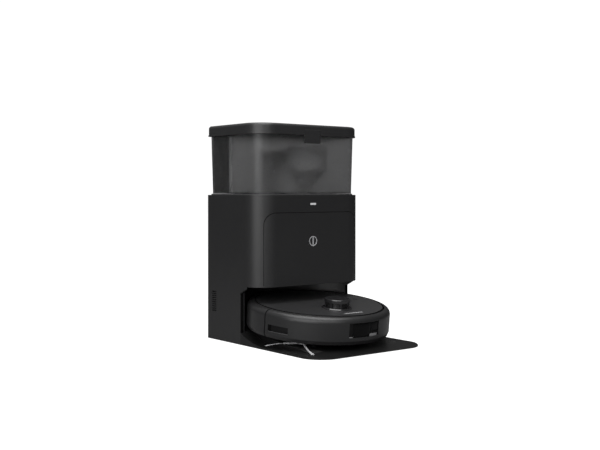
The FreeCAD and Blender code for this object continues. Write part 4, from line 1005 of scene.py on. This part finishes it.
@dataclass
class BinPartition:
    """The moulded partition that stands inside the bin's left wall, with its two guide ribs, whose pale
    finish is a painted highlight.

    Attributes:
        foot: Height of its foot, on the bin's floor.
        top: Height of its top.
        front: Where its front edge stands.
        inset: How far its left face stands inside the bin's left face.
        short: How far it stops short of the bin's back.
        thick: Its thickness, and the width of a rib.
        rib_reach: How far a rib stands out from it, towards the wall.
        rib_fronts: Where the front edge of each rib stands.
    """

    foot: float = 358.6 * MM
    top: float = 499.0 * MM
    front: float = 131.0 * MM
    inset: float = 6.5 * MM
    short: float = 7.0 * MM
    thick: float = 2.0 * MM
    rib_reach: float = 2.6 * MM
    rib_fronts: tuple[float, float] = (120.6 * MM, 128.6 * MM)

    def build(self, wardrobe: Wardrobe) -> None:
        """Builds the partition and its ribs.

        Args:
            wardrobe: Where the materials come from.
        """
        low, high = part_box("dust_bin")
        inside = low.x + self.inset
        panel = bmesh.new()
        corner = (inside + self.thick, high.y - self.short, self.top)
        rounded_block(panel, (inside, self.front, self.foot), corner, 0.8 * MM, 3)
        Piece("bin_partition", "bin", "duct_grey", UNDER).make(panel, wardrobe)
        ribs = bmesh.new()
        for start in self.rib_fronts:
            rounded_block(ribs, (inside - self.rib_reach, start, self.foot),
                          (inside + self.thick, start + self.thick, self.top), 0.6 * MM, 3)
        # Painted highlight: the ribs take the pale cyclone finish to stand for light along the partition's
        # front edges.
        Piece("bin_rib_highlights", "bin", "duct_grey", CYCLONE).make(ribs, wardrobe)


# ------------------------------------------------------------------ studio
@dataclass(frozen=True)
class Softbox:
    """One soft panel light.

    Attributes:
        name: Its name.
        place: Where it hangs.
        size: Its width and height.
        power: Its power in watts.
        aim: The point it faces.
    """

    name: str
    place: Point
    size: tuple[float, float]
    power: float
    aim: Point = (0.0, 0.0, 0.25)

    def hang(self) -> None:
        """Adds the light to the scene."""
        data = bpy.data.lights.new(self.name, "AREA")
        data.shape, data.size, data.size_y, data.energy = "RECTANGLE", *self.size, self.power
        made = bpy.data.objects.new(self.name, data)
        turn = (Vector(self.aim) - Vector(self.place)).to_track_quat("-Z", "Y").to_matrix().to_4x4()
        made.matrix_world = Matrix.Translation(self.place) @ turn
        bpy.context.scene.collection.objects.link(made)


@dataclass
class Studio:
    """White floor and surroundings, three soft panel lights, and the camera.

    Attributes:
        eye: Where the camera stands.
        heading: Which way it looks, in degrees clockwise from the back.
        lens: Its focal length on a sensor 36 mm wide.
        fall: Vertical shift of its frame.
        lights: The panel lights, from the left, the front and above.
    """

    eye: Point = (-1.4301, -1.7595, 0.3603)
    heading: float = 38.27
    lens: float = 56.784
    fall: float = -0.05557
    lights: tuple[Softbox, ...] = (
        Softbox("left_panel", (-2.35, -1.3, 1.0), (2.0, 2.2), 43.0),
        Softbox("front_panel", (-1.2, -2.8, 1.6), (2.4, 1.8), 27.0),
        Softbox("top_panel", (-0.3, -0.3, 2.4), (2.2, 2.2), 70.0, (0.0, 0.0, 0.2)),
    )

    def camera(self) -> None:
        """Sets up the camera."""
        data = bpy.data.cameras.new("camera")
        data.lens, data.sensor_width, data.shift_y = self.lens, 36.0, self.fall
        data.clip_start, data.clip_end = 0.05, 60.0
        made = bpy.data.objects.new("camera", data)
        turn = Matrix.Rotation(math.radians(-self.heading), 4, "Z")
        turn = turn @ Matrix.Rotation(math.radians(90.0), 4, "X")
        made.matrix_world = Matrix.Translation(self.eye) @ turn
        bpy.context.scene.collection.objects.link(made)
        bpy.context.scene.camera = made

    def surroundings(self, seen: float, low: float, lit: float, shaded: float, through: float) -> None:
        """Sets the world: white where it is looked at, dimmer as a light.

        Args:
            seen: Its brightness behind the object.
            low: Its strength as a light at the horizon.
            lit: Its strength as a light higher up.
            shaded: Share of it that is left on the right.
            through: Its brightness behind clear plastic.
        """
        world = bpy.data.worlds.new("studio")
        world.use_nodes = True
        tree = world.node_tree
        path = add_node(tree, "LightPath")
        heading = add_node(tree, "SeparateXYZ")
        tree.links.new(add_node(tree, "TexCoord").outputs["Generated"], heading.inputs[0])
        rising = ranged(tree, heading.outputs["Z"], 0.0, 0.45, low, lit)
        aside = ranged(tree, heading.outputs["X"], -0.2, 0.7, 1.0, shaded)
        lighting = maths(tree, "MULTIPLY", rising, aside)
        behind = maths(tree, "MULTIPLY", path.outputs["Is Transmission Ray"], through)
        lighting = maths(tree, "MAXIMUM", lighting, behind)
        white = maths(tree, "MULTIPLY", path.outputs["Is Camera Ray"], seen)
        strength = maths(tree, "MAXIMUM", lighting, white)
        back = tree.nodes["Background"]
        back.inputs["Color"].default_value = (1.0, 1.0, 1.0, 1.0)
        tree.links.new(strength, back.inputs["Strength"])
        bpy.context.scene.world = world

    def floor(self, seen: float) -> None:
        """Lays the pale floor.

        Args:
            seen: How much it glows where it is looked at, so that its far edge doesn't show.
        """
        mesh = bmesh.new()
        bmesh.ops.create_grid(mesh, x_segments=4, y_segments=4, size=12.0)
        data = bpy.data.meshes.new("floor")
        mesh.to_mesh(data)
        mesh.free()
        made = bpy.data.objects.new("floor", data)
        bpy.context.scene.collection.objects.link(made)
        material = bpy.data.materials.new("floor_white")
        material.use_nodes = True
        tree = material.node_tree
        shader = tree.nodes["Principled BSDF"]
        place = add_node(tree, "TexCoord").outputs["Object"]
        cloud = add_node(tree, "TexNoise", Scale=2.0, Detail=3.0)
        tree.links.new(place, cloud.inputs["Vector"])
        tone = add_node(tree, "MixRGB")
        for socket, level in zip(tone.inputs[1:], FLOOR_TONES):
            socket.default_value = (level, level, level, 1.0)
        tree.links.new(cloud.outputs["Fac"], tone.inputs[0])
        tree.links.new(tone.outputs[0], shader.inputs["Base Color"])
        shader.inputs["Roughness"].default_value = 0.9
        shader.inputs["Emission Color"].default_value = (1.0, 1.0, 1.0, 1.0)
        path = add_node(tree, "LightPath")
        tree.links.new(maths(tree, "MULTIPLY", path.outputs["Is Camera Ray"], seen),
                       shader.inputs["Emission Strength"])
        data.materials.append(material)

    def build(self) -> None:
        """Sets up the whole studio."""
        bpy.context.scene.view_settings.view_transform = "Standard"
        self.surroundings(seen=1.05, low=0.055, lit=0.34, shaded=0.3, through=0.22)
        self.floor(seen=1.03)
        for light in self.lights:
            light.hang()
        self.camera()


def main() -> None:
    """Builds every sub-assembly in order."""
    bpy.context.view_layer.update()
    wardrobe = Wardrobe()
    wardrobe.dress_frame()
    for assembly in (SideSweeper(), FrontEye(), Turret(), Seams(), CoverSeam(), BinPartition()):
        assembly.build(wardrobe)
        LOG.info("%s built", type(assembly).__name__)
    Studio().build()


if __name__ == "__main__":
    main()
